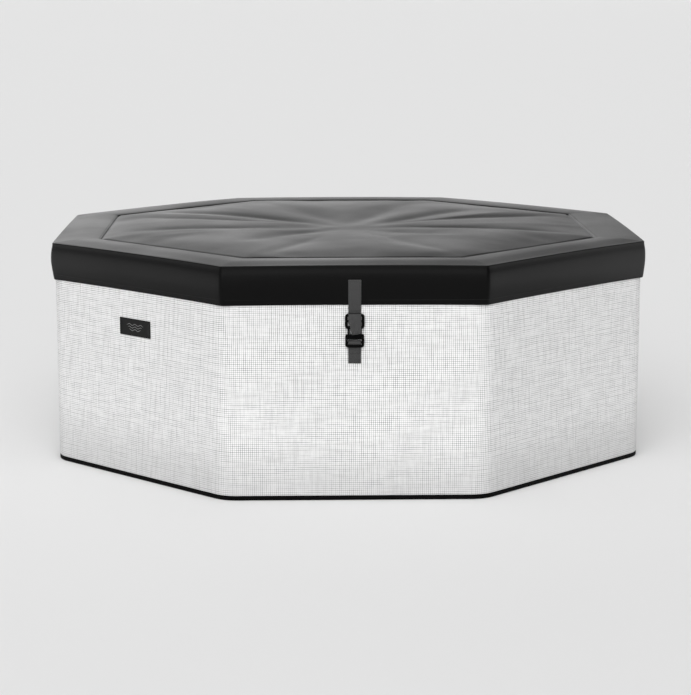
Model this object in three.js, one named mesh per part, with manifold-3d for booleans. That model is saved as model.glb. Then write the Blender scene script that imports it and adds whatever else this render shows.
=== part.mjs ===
// An eight-sided inflatable hot tub with its strapped lid on, as an assembly of separate pieces.
// Millimetres, +Z up. The origin is the middle of the underside, and the front face looks along -Y.
// The tub is a drop-stitch air wall in a woven jacket, lined with a PVC basin. Its pump, filter, heater
// and blower sit in a box let into the back of the wall, behind a louvred hatch. The lid is a skirted
// vinyl cover over a foam border and an air bladder, held down by four buckled straps.
import * as THREE from "three";
import { mergeVertices } from "three/addons/utils/BufferGeometryUtils.js";
import Module from "manifold-3d";

// ---- Driving dimensions -------------------------------------------------------------------------
const GAP = 0.3; // between pieces that touch
const OVERRUN = 5; // how far a cutter runs past what it cuts
const SIDES = 8;
const SIDE_ANGLE = (2 * Math.PI) / SIDES;

const ACROSS = 1850; // the jacket, flat to flat
const FACE = ACROSS / 2; // from the middle to the jacket's outer face
const CORNER = 95; // radius of the wall's upright corners
const WALL = 180; // the wall's whole thickness
const BASIN = ACROSS - 2 * WALL; // the basin, flat to flat
const BASIN_FACE = BASIN / 2;
const BASIN_CORNER = 37;
const RIM = 672; // height of the tub's rim
const RIM_EDGE = 10; // bevel along the rim's edges
const BASE = 13; // thickness of the base pad
const SKIN = 3; // jacket and liner
const AIR_SKIN = 4; // skin of the air wall
const SEAM = 640; // where the jacket meets the liner's apron
const FLOOR = BASE + 2 * GAP; // underside of the liner's floor
const CUSHION_TOP = 75;
const WALL_WEB = { offset: 175, thick: 3, bottom: 90, top: 600 }; // two on each side, inside the air wall

const BAY = { half: 212, bottom: 34, top: 386, depth: 173, skin: 4 }; // the equipment box
const BAY_BACK = FACE - BAY.depth; // its plate behind the basin
const SILL = 70; // top of the fixed strip below the hatch
const HATCH = { half: 205, top: 379, thick: 7, outer: FACE + 1 };
const HINGE = {
  x: -214,
  y: 933.2,
  pin: 2,
  knuckle: 4.4,
  onCasing: [[80, 100], [320, 340]],
  onHatch: [[100.5, 120.5], [299.5, 319.5]],
};
const LOUVRES = { count: 9, left: -130, right: 110, bottom: 98, pitch: 14, height: 6 };
const HATCH_KNOB = { x: 178, z: 225 };

const FILTER = { x: -120, z: 280, radius: 62, bore: 58.5, end: 884, flange: 76, spigotY: 850 };
const CARTRIDGE = { pleats: 40, outer: 50, inner: 43, core: 20, cap: 53, capDepth: 6, length: 130 };
const NOZZLE = { x: 120, z: 280, radius: 24, seat: 17.5, ball: 16.8, ballY: 744, end: 790, flange: 34 };
const PUMP = { y: 835, z: 100, radius: 54, left: -160, right: -124, outletY: 805, outletTop: 168 };
const HEATER = { y: 850, z: 200, radius: 24, left: -30, right: 170, spigot: 10 };
const BLOWER = { y: 835, z: 92, radius: 46, left: 70, right: 130, outletX: 100, outlet: 12, hose: 11 };
const CONTROL_BOX = { x: [26, 194], y: [868, 908], z: [302, 376], edge: 4 };
const GLAND = { x: 150, z: 52, body: 8.5, bore: 4.5 };
const PIPE = 10; // radius of the water pipes

const AIR_VALVE = { x: 285, z: 230, flange: 30, barrel: 22, bore: 17, depth: 30 };
const DRAIN = { x: -285, z: 62, flange: 28, tube: 16, bore: 12 };
const PANEL = { half: 96, y: 836, halfDepth: 32, depth: 27, button: 8.5, buttonsX: [-78, -52, 52, 78] };
const LENS = { half: 35, halfDepth: 14, thick: 2 };
const LABEL = { width: 140, height: 53, thick: 1.6, z: 470, face: -SIDE_ANGLE };

// The lid's outside, from hem to seam, as [distance from the middle to the face, height].
const LID_SKIRT = [
  [927.6, 581.2],
  [932.5, 605],
  [934.5, 635],
  [933.5, 665],
  [930.5, 690],
  [926, 697.5],
  [914, 700],
];
const LID_CORNER = 26;
const LID_SKIN = 2;
const BORDER = { outer: 910, inner: 782, bottom: 674.4, top: 697.6 };
const PAN = { face: 741, bottom: 608, flange: 915, flangeBottom: 672.6, skin: 1.5 };
const BLADDER = { face: 734, bottom: 612, top: 697, edge: 22, skin: 3 };

const WEB = { width: 37, thick: 2 }; // strap webbing
const STRAP_HINGE = { out: 10.3, z: 655 }; // the upper strap's sewn edge
const PLUG = {
  half: 28.4,
  bottom: 511,
  top: 556,
  back: 3.6,
  front: 8.8,
  round: 10,
  slot: 20.5, // half the width of a webbing slot
  slots: [[520, 531], [537, 548]],
  tongue: 6, // half its width
  tip: 486,
};
const SOCKET = {
  half: 27.5,
  bottom: 457,
  top: 497,
  back: 1.5,
  front: 12,
  round: 9,
  slot: 20.3,
  mouth: { half: 22, bottom: 483, front: 9.6 },
  window: [463.5, 481],
  ear: { inner: 18.5, back: 3, span: [485.5, 490.5] }, // where the plug's barbs catch
  bar: { span: [468.5, 474.5], back: 4.2, front: 8.2 },
};

// ---- Materials ----------------------------------------------------------------------------------
const finish = (color, roughness, metalness = 0) =>
  new THREE.MeshStandardMaterial({ color, roughness, metalness });
const MATERIALS = {
  weave: finish(0xe9e9e7, 0.85),
  black: finish(0x161617, 0.6),
  lidVinyl: finish(0x1c1c1d, 0.5),
  pvc: finish(0x9a9fa3, 0.55),
  liner: finish(0xc9cdd0, 0.4),
  foam: finish(0xd9dadb, 0.9),
  foil: finish(0xb9bcc0, 0.35, 0.6),
  webbing: finish(0x4c4c4e, 0.85),
  buckle: finish(0x0d0d0e, 0.35),
  housing: finish(0x3a3c3f, 0.55),
  steel: finish(0xb5b8bb, 0.3, 1),
  motor: finish(0x2c4a63, 0.5),
  hose: finish(0x7c8286, 0.5),
  fitting: finish(0x8f9498, 0.45),
  paper: finish(0xe6ebef, 0.9),
  lens: finish(0x101418, 0.1),
};

// ---- Solid helpers ------------------------------------------------------------------------------
const wasm = await Module();
wasm.setup();

// A closed geometry as a manifold-3d solid.
function solidOf(geometry) {
  const bare = geometry.clone();
  bare.deleteAttribute("normal");
  bare.deleteAttribute("uv");
  const merged = mergeVertices(bare, 1e-4);
  return new wasm.Manifold(
    new wasm.Mesh({
      numProp: 3,
      vertProperties: merged.attributes.position.array,
      triVerts: new Uint32Array(merged.index.array),
    }),
  );
}

// A manifold-3d solid as a flat-shaded geometry.
function geometryOf(solid) {
  const mesh = solid.getMesh();
  const geometry = new THREE.BufferGeometry();
  geometry.setAttribute("position", new THREE.BufferAttribute(mesh.vertProperties, mesh.numProp));
  geometry.setIndex(new THREE.BufferAttribute(mesh.triVerts, 1));
  const flat = geometry.toNonIndexed();
  flat.computeVertexNormals();
  return flat;
}

const join = (...pieces) => geometryOf(pieces.map(solidOf).reduce((whole, next) => whole.add(next)));
const cut = (body, ...tools) =>
  geometryOf(tools.map(solidOf).reduce((whole, tool) => whole.subtract(tool), solidOf(body)));

// A box between two values on each axis.
function box([x0, x1], [y0, y1], [z0, z1]) {
  const geometry = new THREE.BoxGeometry(x1 - x0, y1 - y0, z1 - z0);
  return geometry.translate((x0 + x1) / 2, (y0 + y1) / 2, (z0 + z1) / 2);
}

// Enough sides for a cylinder of this radius.
const sidesFor = (radius) => (radius > 30 ? 24 : radius > 12 ? 16 : 12);

// A cylinder along an axis, from one value to another, placed by its values on the other two axes.
function rod(axis, radius, [start, end], [a, b], sides = sidesFor(radius)) {
  const geometry = new THREE.CylinderGeometry(radius, radius, end - start, sides);
  const middle = (start + end) / 2;
  if (axis === "x") return geometry.rotateZ(Math.PI / 2).translate(middle, a, b);
  if (axis === "y") return geometry.translate(a, middle, b);
  return geometry.rotateX(Math.PI / 2).translate(a, b, middle);
}

// A shape in the plane of x and height, extruded along y from y0 to y1.
function plate(shape, [y0, y1], curveSegments = 3) {
  const settings = { depth: y1 - y0, bevelEnabled: false, curveSegments };
  const geometry = new THREE.ExtrudeGeometry(shape, settings);
  return geometry.rotateX(Math.PI / 2).translate(0, y1, 0);
}

// A rectangle with round corners, as a shape.
function roundRect([x0, x1], [y0, y1], radius) {
  const shape = new THREE.Shape();
  shape.absarc(x1 - radius, y1 - radius, radius, 0, Math.PI / 2);
  shape.absarc(x0 + radius, y1 - radius, radius, Math.PI / 2, Math.PI);
  shape.absarc(x0 + radius, y0 + radius, radius, Math.PI, 1.5 * Math.PI);
  shape.absarc(x1 - radius, y0 + radius, radius, 1.5 * Math.PI, 2 * Math.PI);
  return shape;
}

// The points of an octagon with flats facing the axes, given from flat to flat, with rounded corners.
function octagon(across, radius, steps) {
  const reach = (across / 2 - radius) / Math.cos(SIDE_ANGLE / 2);
  const points = [];
  for (let side = 0; side < SIDES; side += 1) {
    const corner = (side + 0.5) * SIDE_ANGLE;
    for (let step = 0; step <= steps; step += 1) {
      const angle = corner + (step / steps - 0.5) * SIDE_ANGLE;
      points.push([
        reach * Math.cos(corner) + radius * Math.cos(angle),
        reach * Math.sin(corner) + radius * Math.sin(angle),
      ]);
    }
  }
  return points;
}

// A closed solid through octagons at rising heights. Each level is [flat to flat, corner radius, height].
function stack(levels, steps = 3) {
  const rings = levels.map(([across, radius, z]) =>
    octagon(across, radius, steps).map(([x, y]) => [x, y, z]),
  );
  const count = rings[0].length;
  const faces = [];
  for (let level = 0; level + 1 < rings.length; level += 1) {
    for (let i = 0; i < count; i += 1) {
      const a = level * count + i;
      const b = level * count + ((i + 1) % count);
      faces.push(a, b, b + count, a, b + count, a + count);
    }
  }
  const top = (rings.length - 1) * count;
  for (let i = 1; i + 1 < count; i += 1) {
    faces.push(0, i + 1, i, top, top + i, top + i + 1);
  }
  const geometry = new THREE.BufferGeometry();
  geometry.setAttribute("position", new THREE.Float32BufferAttribute(rings.flat(2), 3));
  geometry.setIndex(faces);
  return geometry;
}

// A pipe of round section through a list of points.
function pipe(points, radius, steps = 16) {
  const section = new THREE.Shape().absarc(0, 0, radius, 0, 2 * Math.PI);
  const path = new THREE.CatmullRomCurve3(points.map((point) => new THREE.Vector3(...point)));
  return new THREE.ExtrudeGeometry(section, { steps, extrudePath: path, curveSegments: 4 });
}

// A band of webbing along a line of [distance out from the face, height], lying flat against the face.
function ribbon(line) {
  const half = WEB.thick / 2;
  const points = line.map(([out, z]) => new THREE.Vector2(out, z));
  const edge = (side) =>
    points.map((point, i) => {
      const before = points[Math.max(i - 1, 0)];
      const after = points[Math.min(i + 1, points.length - 1)];
      const inward = i === 0 ? after.clone().sub(point) : point.clone().sub(before);
      const outward = i === points.length - 1 ? inward.clone() : after.clone().sub(point);
      const mitre = inward.normalize().add(outward.normalize()).normalize();
      const square = new THREE.Vector2(-mitre.y, mitre.x);
      const stretch = 1 / Math.max(square.dot(new THREE.Vector2(-inward.y, inward.x)), 0.5);
      return point.clone().addScaledVector(square, side * half * stretch);
    });
  const shape = new THREE.Shape([...edge(1), ...edge(-1).reverse()]);
  const geometry = new THREE.ExtrudeGeometry(shape, { depth: WEB.width, bevelEnabled: false });
  // Shape x is the distance out, shape y the height, and the extrusion runs across the face.
  const turn = new THREE.Matrix4().set(0, 0, -1, WEB.width / 2, -1, 0, 0, -FACE, 0, 1, 0, 0, 0, 0, 0, 1);
  return geometry.applyMatrix4(turn);
}

// A half circle of points round a bend, from one angle to another in degrees, as [out, height].
function bend([out, z], radius, from, to, steps = 4) {
  return Array.from({ length: steps + 1 }, (_, i) => {
    const angle = THREE.MathUtils.degToRad(from + ((to - from) * i) / steps);
    return [out + radius * Math.cos(angle), z + radius * Math.sin(angle)];
  });
}

const named = (name, geometry, material) => {
  const mesh = new THREE.Mesh(geometry, material);
  mesh.name = name;
  return mesh;
};

// ---- The tub's shell ----------------------------------------------------------------------------
const hollowAcross = BASIN + 2 * (SKIN + GAP); // inside of the air wall
const airAcross = ACROSS - 2 * (SKIN + GAP); // outside of the air wall

// A ring between two octagons, with both top edges bevelled.
function bevelledRing(outer, inner, bottom, top, edge, inset = 0) {
  const outside = stack([
    [outer, CORNER - (ACROSS - outer) / 2, bottom],
    [outer, CORNER - (ACROSS - outer) / 2, top - edge],
    [outer - 2 * edge, CORNER - (ACROSS - outer) / 2 - edge / 2, top],
  ]);
  const inside = stack([
    [inner, BASIN_CORNER + inset, bottom - OVERRUN],
    [inner, BASIN_CORNER + inset, top - edge],
    [inner + 2.4 * edge, BASIN_CORNER + inset, top + 0.2 * edge],
  ]);
  return cut(outside, inside);
}

// The panel's pocket and the equipment bay, grown by a margin, as the pieces cut out of the wall.
function wallPockets(margin) {
  const bay = box(
    [-BAY.half - 4 - margin, BAY.half + 4 + margin],
    [BASIN_FACE - 60, FACE + 60],
    [BAY.bottom - 4 - margin, BAY.top + 4 + margin],
  );
  const panel = box(
    [-PANEL.half - 3 - margin, PANEL.half + 3 + margin],
    [PANEL.y - PANEL.halfDepth - 3 - margin, PANEL.y + PANEL.halfDepth + 3 + margin],
    [RIM - PANEL.depth - 4 - margin, RIM + 20],
  );
  const drain = rod("y", DRAIN.tube + 1 + margin, [BASIN_FACE - 60, FACE + 60], [DRAIN.x, DRAIN.z]);
  return [bay, panel, drain];
}

// The drop-stitch air wall: two skins held parallel by webs, with room for the air above and below them.
function airWall() {
  const bottom = BASE + GAP;
  const top = RIM - SKIN - GAP;
  const body = bevelledRing(airAcross, hollowAcross, bottom, top, RIM_EDGE, 1);
  const hollow = bevelledRing(
    airAcross - 2 * AIR_SKIN,
    hollowAcross + 2 * AIR_SKIN,
    bottom + AIR_SKIN,
    top - AIR_SKIN,
    RIM_EDGE,
    AIR_SKIN,
  );
  const air = cut(hollow, ...wallPockets(AIR_SKIN));
  const valve = rod("y", AIR_VALVE.barrel + 0.5, [FACE - 20, FACE + 20], [AIR_VALVE.x, AIR_VALVE.z]);
  const shell = cut(body, ...wallPockets(0), air, valve);
  const webs = [];
  for (let side = 0; side < SIDES; side += 1) {
    const isBehindBay = side === 2;
    for (const offset of isBehindBay ? [] : [-WALL_WEB.offset, WALL_WEB.offset]) {
      const across = [offset - WALL_WEB.thick / 2, offset + WALL_WEB.thick / 2];
      const web = box([hollowAcross / 2 + 2, airAcross / 2 - 2], across, [WALL_WEB.bottom, WALL_WEB.top]);
      webs.push(web.rotateZ(side * SIDE_ANGLE));
    }
  }
  return join(shell, ...webs);
}

function jacket() {
  const sleeve = cut(
    stack([[ACROSS, CORNER, BASE + GAP], [ACROSS, CORNER, SEAM]]),
    stack([[ACROSS - 2 * SKIN, CORNER - SKIN, 0], [ACROSS - 2 * SKIN, CORNER - SKIN, SEAM + OVERRUN]]),
  );
  return cut(
    sleeve,
    box([-BAY.half - 2, BAY.half + 2], [FACE - 20, FACE + 20], [BAY.bottom - 2, BAY.top + 2]),
    rod("y", AIR_VALVE.barrel + 2, [FACE - 20, FACE + 20], [AIR_VALVE.x, AIR_VALVE.z]),
    rod("y", DRAIN.tube + 2, [FACE - 20, FACE + 20], [DRAIN.x, DRAIN.z]),
  );
}

// The basin and the apron that runs over the rim and down to the jacket.
function liner() {
  const apron = cut(
    bevelledRing(ACROSS, BASIN, SEAM + GAP, RIM, RIM_EDGE),
    bevelledRing(ACROSS - 2 * SKIN, BASIN + 2 * SKIN, SEAM - 40, RIM - SKIN, RIM_EDGE, 1),
  );
  const basin = cut(
    stack([[BASIN + 2 * SKIN, BASIN_CORNER + 1, FLOOR], [BASIN + 2 * SKIN, BASIN_CORNER + 1, RIM - 20]]),
    stack([[BASIN, BASIN_CORNER, FLOOR + SKIN], [BASIN, BASIN_CORNER, RIM]]),
  );
  const through = [BASIN_FACE - 20, BASIN_FACE + 20];
  return cut(
    join(apron, basin),
    rod("y", FILTER.radius + 0.6, through, [FILTER.x, FILTER.z]),
    rod("y", NOZZLE.radius + 0.6, through, [NOZZLE.x, NOZZLE.z]),
    rod("y", BLOWER.outlet, through, [BLOWER.outletX, BLOWER.z]),
    rod("y", DRAIN.tube + 0.6, through, [DRAIN.x, DRAIN.z]),
    box(
      [-PANEL.half - 1, PANEL.half + 1],
      [PANEL.y - PANEL.halfDepth - 1, PANEL.y + PANEL.halfDepth + 1],
      [RIM - 20, RIM + 20],
    ),
  );
}

function floorCushion() {
  const pad = stack([
    [BASIN - 4, BASIN_CORNER, FLOOR + SKIN + GAP],
    [BASIN - 4, BASIN_CORNER, CUSHION_TOP - 6],
    [BASIN - 16, BASIN_CORNER, CUSHION_TOP],
  ]);
  return cut(pad, box([DRAIN.x - 22, DRAIN.x + 22], [BASIN_FACE - 40, BASIN_FACE], [FLOOR, RIM]));
}

// The air duct that runs round the foot of the basin: a half-round section on an eight-sided path.
function bubbleRing() {
  const outer = BASIN_FACE - 5;
  const section = [
    [outer - 56, 0],
    [outer, 0],
    [outer, 30],
    [outer - 6, 38],
    [outer - 20, 41],
    [outer - 38, 36],
    [outer - 51, 22],
    [outer - 56, 0],
  ];
  const toCorner = 1 / Math.cos(SIDE_ANGLE / 2);
  const profile = section.map(([face, z]) => new THREE.Vector2(face * toCorner, z));
  const ring = new THREE.LatheGeometry(profile, SIDES, SIDE_ANGLE / 2);
  return ring.rotateX(Math.PI / 2).translate(0, 0, CUSHION_TOP + GAP);
}

function shellMeshes() {
  const base = stack([[ACROSS, CORNER, 0], [ACROSS, CORNER, BASE]]);
  const label = named("label_patch", box(
    [-LABEL.width / 2, LABEL.width / 2],
    [-FACE - GAP - LABEL.thick, -FACE - GAP],
    [LABEL.z - LABEL.height / 2, LABEL.z + LABEL.height / 2],
  ), MATERIALS.black);
  label.rotation.z = LABEL.face;
  return [
    named("base_pad", base, MATERIALS.black),
    named("air_wall", airWall(), MATERIALS.pvc),
    named("outer_jacket", jacket(), MATERIALS.weave),
    named("tub_liner", liner(), MATERIALS.liner),
    named("floor_cushion", floorCushion(), MATERIALS.liner),
    named("bubble_ring", bubbleRing(), MATERIALS.fitting),
    label,
  ];
}

// ---- Fittings on the back face ------------------------------------------------------------------
function airValve() {
  const at = [AIR_VALVE.x, AIR_VALVE.z];
  const inner = FACE - AIR_VALVE.depth;
  const body = cut(
    join(
      rod("y", AIR_VALVE.flange, [FACE + GAP, FACE + 4], at),
      rod("y", AIR_VALVE.barrel, [inner, FACE + 1], at),
    ),
    rod("y", AIR_VALVE.bore, [inner + 3, FACE + 10], at),
    rod("y", 5.6, [inner - 1, inner + 4], at),
    ...[45, 135, 225, 315].map((degrees) => {
      const angle = THREE.MathUtils.degToRad(degrees);
      const hole = [at[0] + 11 * Math.cos(angle), at[1] + 11 * Math.sin(angle)];
      return rod("y", 3.5, [inner - 1, inner + 4], hole, 10);
    }),
  );
  const pin = join(
    rod("y", 5, [inner - 4, inner + 16], at),
    rod("y", 9, [inner + 13, inner + 17], at),
    rod("y", 15.5, [inner - 5, inner - GAP], at),
  );
  const grip = join(
    rod("y", AIR_VALVE.flange - 2, [FACE + 4.4, FACE + 8], at),
    rod("y", AIR_VALVE.bore - 1, [FACE - 9, FACE + 5], at),
    box([at[0] - 22, at[0] + 22], [FACE + 7, FACE + 12], [at[1] - 4, at[1] + 4]),
  );
  return [
    named("air_valve_body", body, MATERIALS.fitting),
    named("air_valve_pin", pin, MATERIALS.housing),
    named("air_valve_cap", grip, MATERIALS.fitting),
  ];
}

function drain() {
  const at = [DRAIN.x, DRAIN.z];
  const fitting = cut(
    join(
      rod("y", DRAIN.flange, [FACE + GAP, FACE + 4], at),
      rod("y", DRAIN.tube, [BASIN_FACE + 1, FACE + 2], at),
    ),
    rod("y", DRAIN.bore, [BASIN_FACE - 10, FACE + 10], at),
  );
  const cap = join(
    rod("y", DRAIN.flange - 5, [FACE + 4.4, FACE + 12], at),
    rod("y", DRAIN.bore - 0.5, [FACE - 8, FACE + 5], at),
  );
  return [
    named("drain_fitting", fitting, MATERIALS.fitting),
    named("drain_cap", cap, MATERIALS.fitting),
  ];
}

// ---- The equipment box, its hatch and what it holds ---------------------------------------------
function unitCasing() {
  const inside = BAY.half - BAY.skin;
  const shell = join(
    box([-BAY.half, BAY.half], [BAY_BACK, FACE + 1], [BAY.bottom, BAY.top]),
    plate(
      roundRect([-BAY.half - 14, BAY.half + 14], [BAY.bottom - 12, BAY.top + 12], 12),
      [FACE + GAP, FACE + 3.3],
    ),
  );
  const hollow = box(
    [-inside, inside],
    [BAY_BACK + BAY.skin, FACE + 20],
    [BAY.bottom + BAY.skin, BAY.top - BAY.skin],
  );
  const sill = box([-inside - 1, inside + 1], [FACE - 6, FACE + 1], [BAY.bottom + 2, SILL]);
  const knuckles = HINGE.onCasing.map((span) =>
    join(
      rod("z", HINGE.knuckle, span, [HINGE.x, HINGE.y]),
      box([HINGE.x - 8, HINGE.x + 4], [FACE + 1, HINGE.y - 1], span),
    ),
  );
  return cut(
    join(cut(shell, hollow), sill, ...knuckles),
    rod("z", HINGE.pin + GAP, [60, 360], [HINGE.x, HINGE.y]),
    rod("y", FILTER.radius + 0.6, [BAY_BACK - 5, BAY_BACK + 9], [FILTER.x, FILTER.z]),
    rod("y", NOZZLE.radius + 0.6, [BAY_BACK - 5, BAY_BACK + 9], [NOZZLE.x, NOZZLE.z]),
    rod("y", BLOWER.outlet, [BAY_BACK - 5, BAY_BACK + 9], [BLOWER.outletX, BLOWER.z]),
    rod("y", GLAND.body + 0.5, [FACE - 10, FACE + 10], [GLAND.x, GLAND.z]),
  );
}

function hatch() {
  const door = plate(
    roundRect([-HATCH.half, HATCH.half], [SILL + 3, HATCH.top], 8),
    [HATCH.outer - HATCH.thick, HATCH.outer],
  );
  const knuckles = HINGE.onHatch.map((span) =>
    join(
      rod("z", HINGE.knuckle, span, [HINGE.x, HINGE.y]),
      box([HINGE.x, -HATCH.half + 12], [FACE + 3.8, FACE + 7], span),
      box([-HATCH.half + 1, -HATCH.half + 12], [HATCH.outer - 2, FACE + 7], span),
    ),
  );
  const louvres = Array.from({ length: LOUVRES.count }, (_, i) => {
    const bottom = LOUVRES.bottom + i * LOUVRES.pitch;
    const through = [HATCH.outer - 20, HATCH.outer + 10];
    return box([LOUVRES.left, LOUVRES.right], through, [bottom, bottom + LOUVRES.height]);
  });
  return cut(
    join(door, ...knuckles),
    rod("z", HINGE.pin + GAP, [60, 360], [HINGE.x, HINGE.y]),
    rod("y", 7, [HATCH.outer - 20, HATCH.outer + 10], [HATCH_KNOB.x, HATCH_KNOB.z]),
    ...louvres,
  );
}

function hatchKnob() {
  const { x, z } = HATCH_KNOB;
  return join(
    rod("y", 17, [HATCH.outer + GAP, HATCH.outer + 4], [x, z]),
    rod("y", 6, [HATCH.outer - HATCH.thick - 6, HATCH.outer + 2], [x, z]),
    box([x - 4, x + 4], [HATCH.outer + 3, HATCH.outer + 11], [z - 15, z + 15]),
    box([x - 6, x + 22], [HATCH.outer - HATCH.thick - 5, HATCH.outer - HATCH.thick - 2], [z - 6, z + 6]),
  );
}

function pump() {
  const at = [PUMP.y, PUMP.z];
  const volute = cut(
    join(
      rod("x", PUMP.radius, [PUMP.left, PUMP.right], at),
      rod("x", 14, [PUMP.left - 6, PUMP.left + 2], at),
      rod("z", 13, [PUMP.z, PUMP.outletTop], [(PUMP.left + PUMP.right) / 2, PUMP.outletY]),
    ),
    rod("x", PUMP.radius - 8, [PUMP.left + 5, PUMP.right - 5], at),
    rod("x", 9, [PUMP.left - 8, PUMP.left + 8], at),
    rod("x", 6, [PUMP.right - 8, PUMP.right + 2], at),
    rod("z", 8, [PUMP.z + 20, PUMP.outletTop + 5], [(PUMP.left + PUMP.right) / 2, PUMP.outletY]),
  );
  const motor = join(
    rod("x", 42, [PUMP.right + GAP, -20], at),
    rod("x", 36, [-21, -8], at),
    rod("x", 4.5, [PUMP.right - 6, PUMP.right + 2], at),
    box([-110, -90], [PUMP.y - 30, PUMP.y + 30], [BAY.bottom + BAY.skin + GAP, 70]),
    box([-50, -30], [PUMP.y - 30, PUMP.y + 30], [BAY.bottom + BAY.skin + GAP, 70]),
  );
  const blades = Array.from({ length: 6 }, (_, i) =>
    box([-147.5, -136], [6, 40], [-1.5, 1.5]).rotateX((i * Math.PI) / 3).translate(0, ...at),
  );
  const impeller = join(
    rod("x", 42, [-151, -147], at),
    rod("x", 9, [-151, -131], at),
    ...blades,
  );
  return [
    named("pump_volute", volute, MATERIALS.housing),
    named("pump_motor", motor, MATERIALS.motor),
    named("pump_impeller", impeller, MATERIALS.fitting),
  ];
}

function heater() {
  const at = [HEATER.y, HEATER.z];
  const tube = join(
    rod("x", HEATER.radius, [HEATER.left, HEATER.right], at),
    rod("x", HEATER.radius + 6, [HEATER.left, HEATER.left + 8], at),
    rod("x", HEATER.radius + 6, [HEATER.right - 8, HEATER.right], at),
    rod("x", PIPE + 2, [HEATER.left - HEATER.spigot, HEATER.right + HEATER.spigot], at),
    box([60, 84], [HEATER.y - 8, HEATER.y + 8], [HEATER.z + 20, HEATER.z + 36]),
  );
  return named("heater_tube", tube, MATERIALS.steel);
}

function blower() {
  const at = [BLOWER.y, BLOWER.z];
  const { left, right, radius } = BLOWER;
  const housing = cut(
    join(
      rod("x", radius, [left, right], at),
      rod("y", BLOWER.outlet, [BLOWER.y - radius - 17, BLOWER.y], [BLOWER.outletX, BLOWER.z]),
      box([left + 10, right - 10], [BLOWER.y - 25, BLOWER.y + 25], [BAY.bottom + BAY.skin + GAP, 60]),
    ),
    rod("x", radius - 5, [left + 4, right - 4], at),
    rod("x", 22, [right - 6, right + 2], at),
    rod("y", 8, [BLOWER.y - radius - 20, BLOWER.y - 20], [BLOWER.outletX, BLOWER.z]),
  );
  const vanes = Array.from({ length: 12 }, (_, i) =>
    box([left + 9, right - 9], [26, 36], [-1.2, 1.2]).rotateX((i * Math.PI) / 6).translate(0, ...at),
  );
  const fan = join(
    rod("x", 37, [left + 8, left + 11], at),
    rod("x", 7, [left + 8, right - 20], at),
    ...vanes,
  );
  const hoseSpan = [BASIN_FACE - 4.4, BLOWER.y - radius - 17 - GAP];
  const hose = rod("y", BLOWER.hose, hoseSpan, [BLOWER.outletX, BLOWER.z]);
  return [
    named("blower_housing", housing, MATERIALS.housing),
    named("blower_fan", fan, MATERIALS.fitting),
    named("air_hose", hose, MATERIALS.hose),
  ];
}

function waterPipes() {
  const voluteX = (PUMP.left + PUMP.right) / 2;
  const suction = pipe([
    [FILTER.x, FILTER.spigotY, 205.5],
    [FILTER.x, FILTER.spigotY, 193],
    [-150, 847, 174],
    [-183, 841, 150],
    [-194, 837, 122],
    [-187, PUMP.y, 103],
    [-176, PUMP.y, PUMP.z],
    [PUMP.left - 6.4, PUMP.y, PUMP.z],
  ], PIPE, 13);
  const pressure = pipe([
    [voluteX, PUMP.outletY, PUMP.outletTop + 0.4],
    [voluteX, PUMP.outletY, 180],
    [-124, 812, 196],
    [-92, 832, 200],
    [-58, HEATER.y, HEATER.z],
    [HEATER.left - HEATER.spigot - 0.4, HEATER.y, HEATER.z],
  ], PIPE, 11);
  const ret = pipe([
    [HEATER.right + HEATER.spigot + 0.4, HEATER.y, HEATER.z],
    [187, HEATER.y, HEATER.z],
    [197, 848, 226],
    [187, 838, 256],
    [160, 832, 278],
    [130, 822, NOZZLE.z],
    [NOZZLE.x, 804, NOZZLE.z],
    [NOZZLE.x, NOZZLE.end + 0.4, NOZZLE.z],
  ], PIPE, 14);
  return [
    named("suction_pipe", suction, MATERIALS.hose),
    named("pressure_pipe", pressure, MATERIALS.hose),
    named("return_pipe", ret, MATERIALS.hose),
  ];
}

function filter() {
  const at = [FILTER.x, FILTER.z];
  const front = BASIN_FACE - 6.5;
  const housing = cut(
    join(
      rod("y", FILTER.flange, [front, BASIN_FACE - GAP], at),
      rod("y", FILTER.radius, [front, FILTER.end], at),
      rod("z", 13, [206, FILTER.z - 40], [FILTER.x, FILTER.spigotY]),
    ),
    rod("y", FILTER.bore, [front - 5, FILTER.end - 4], at),
    rod("z", 9, [200, FILTER.z], [FILTER.x, FILTER.spigotY]),
  );
  const slots = Array.from({ length: 12 }, (_, i) =>
    box([27, 50], [front - 5, BASIN_FACE + 5], [-2.5, 2.5])
      .rotateY((i * Math.PI) / 6)
      .translate(FILTER.x, 0, FILTER.z),
  );
  const cap = cut(
    join(
      rod("y", FILTER.bore - 1, [front, BASIN_FACE], at),
      rod("y", 20, [front - 5, front + 1], at),
      box([FILTER.x - 26, FILTER.x + 26], [front - 12, front - 4], [FILTER.z - 5, FILTER.z + 5]),
    ),
    ...slots,
  );
  const pleats = new THREE.Shape(
    Array.from({ length: CARTRIDGE.pleats }, (_, i) => {
      const angle = (i * 2 * Math.PI) / CARTRIDGE.pleats;
      const radius = i % 2 ? CARTRIDGE.outer : CARTRIDGE.inner;
      return new THREE.Vector2(radius * Math.cos(angle), radius * Math.sin(angle));
    }),
  );
  const start = BASIN_FACE + 2;
  const end = start + CARTRIDGE.length;
  const depth = CARTRIDGE.length - 2 * CARTRIDGE.capDepth + 2;
  const paper = new THREE.ExtrudeGeometry(pleats, { depth, bevelEnabled: false })
    .rotateX(Math.PI / 2)
    .translate(FILTER.x, end - CARTRIDGE.capDepth + 1, FILTER.z);
  const cartridge = cut(
    join(
      paper,
      rod("y", CARTRIDGE.cap, [start, start + CARTRIDGE.capDepth], at),
      rod("y", CARTRIDGE.cap, [end - CARTRIDGE.capDepth, end], at),
    ),
    rod("y", CARTRIDGE.core, [start - OVERRUN, end + OVERRUN], at),
  );
  return [
    named("filter_housing", housing, MATERIALS.housing),
    named("filter_cartridge", cartridge, MATERIALS.paper),
    named("filter_cap", cap, MATERIALS.fitting),
  ];
}

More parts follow.
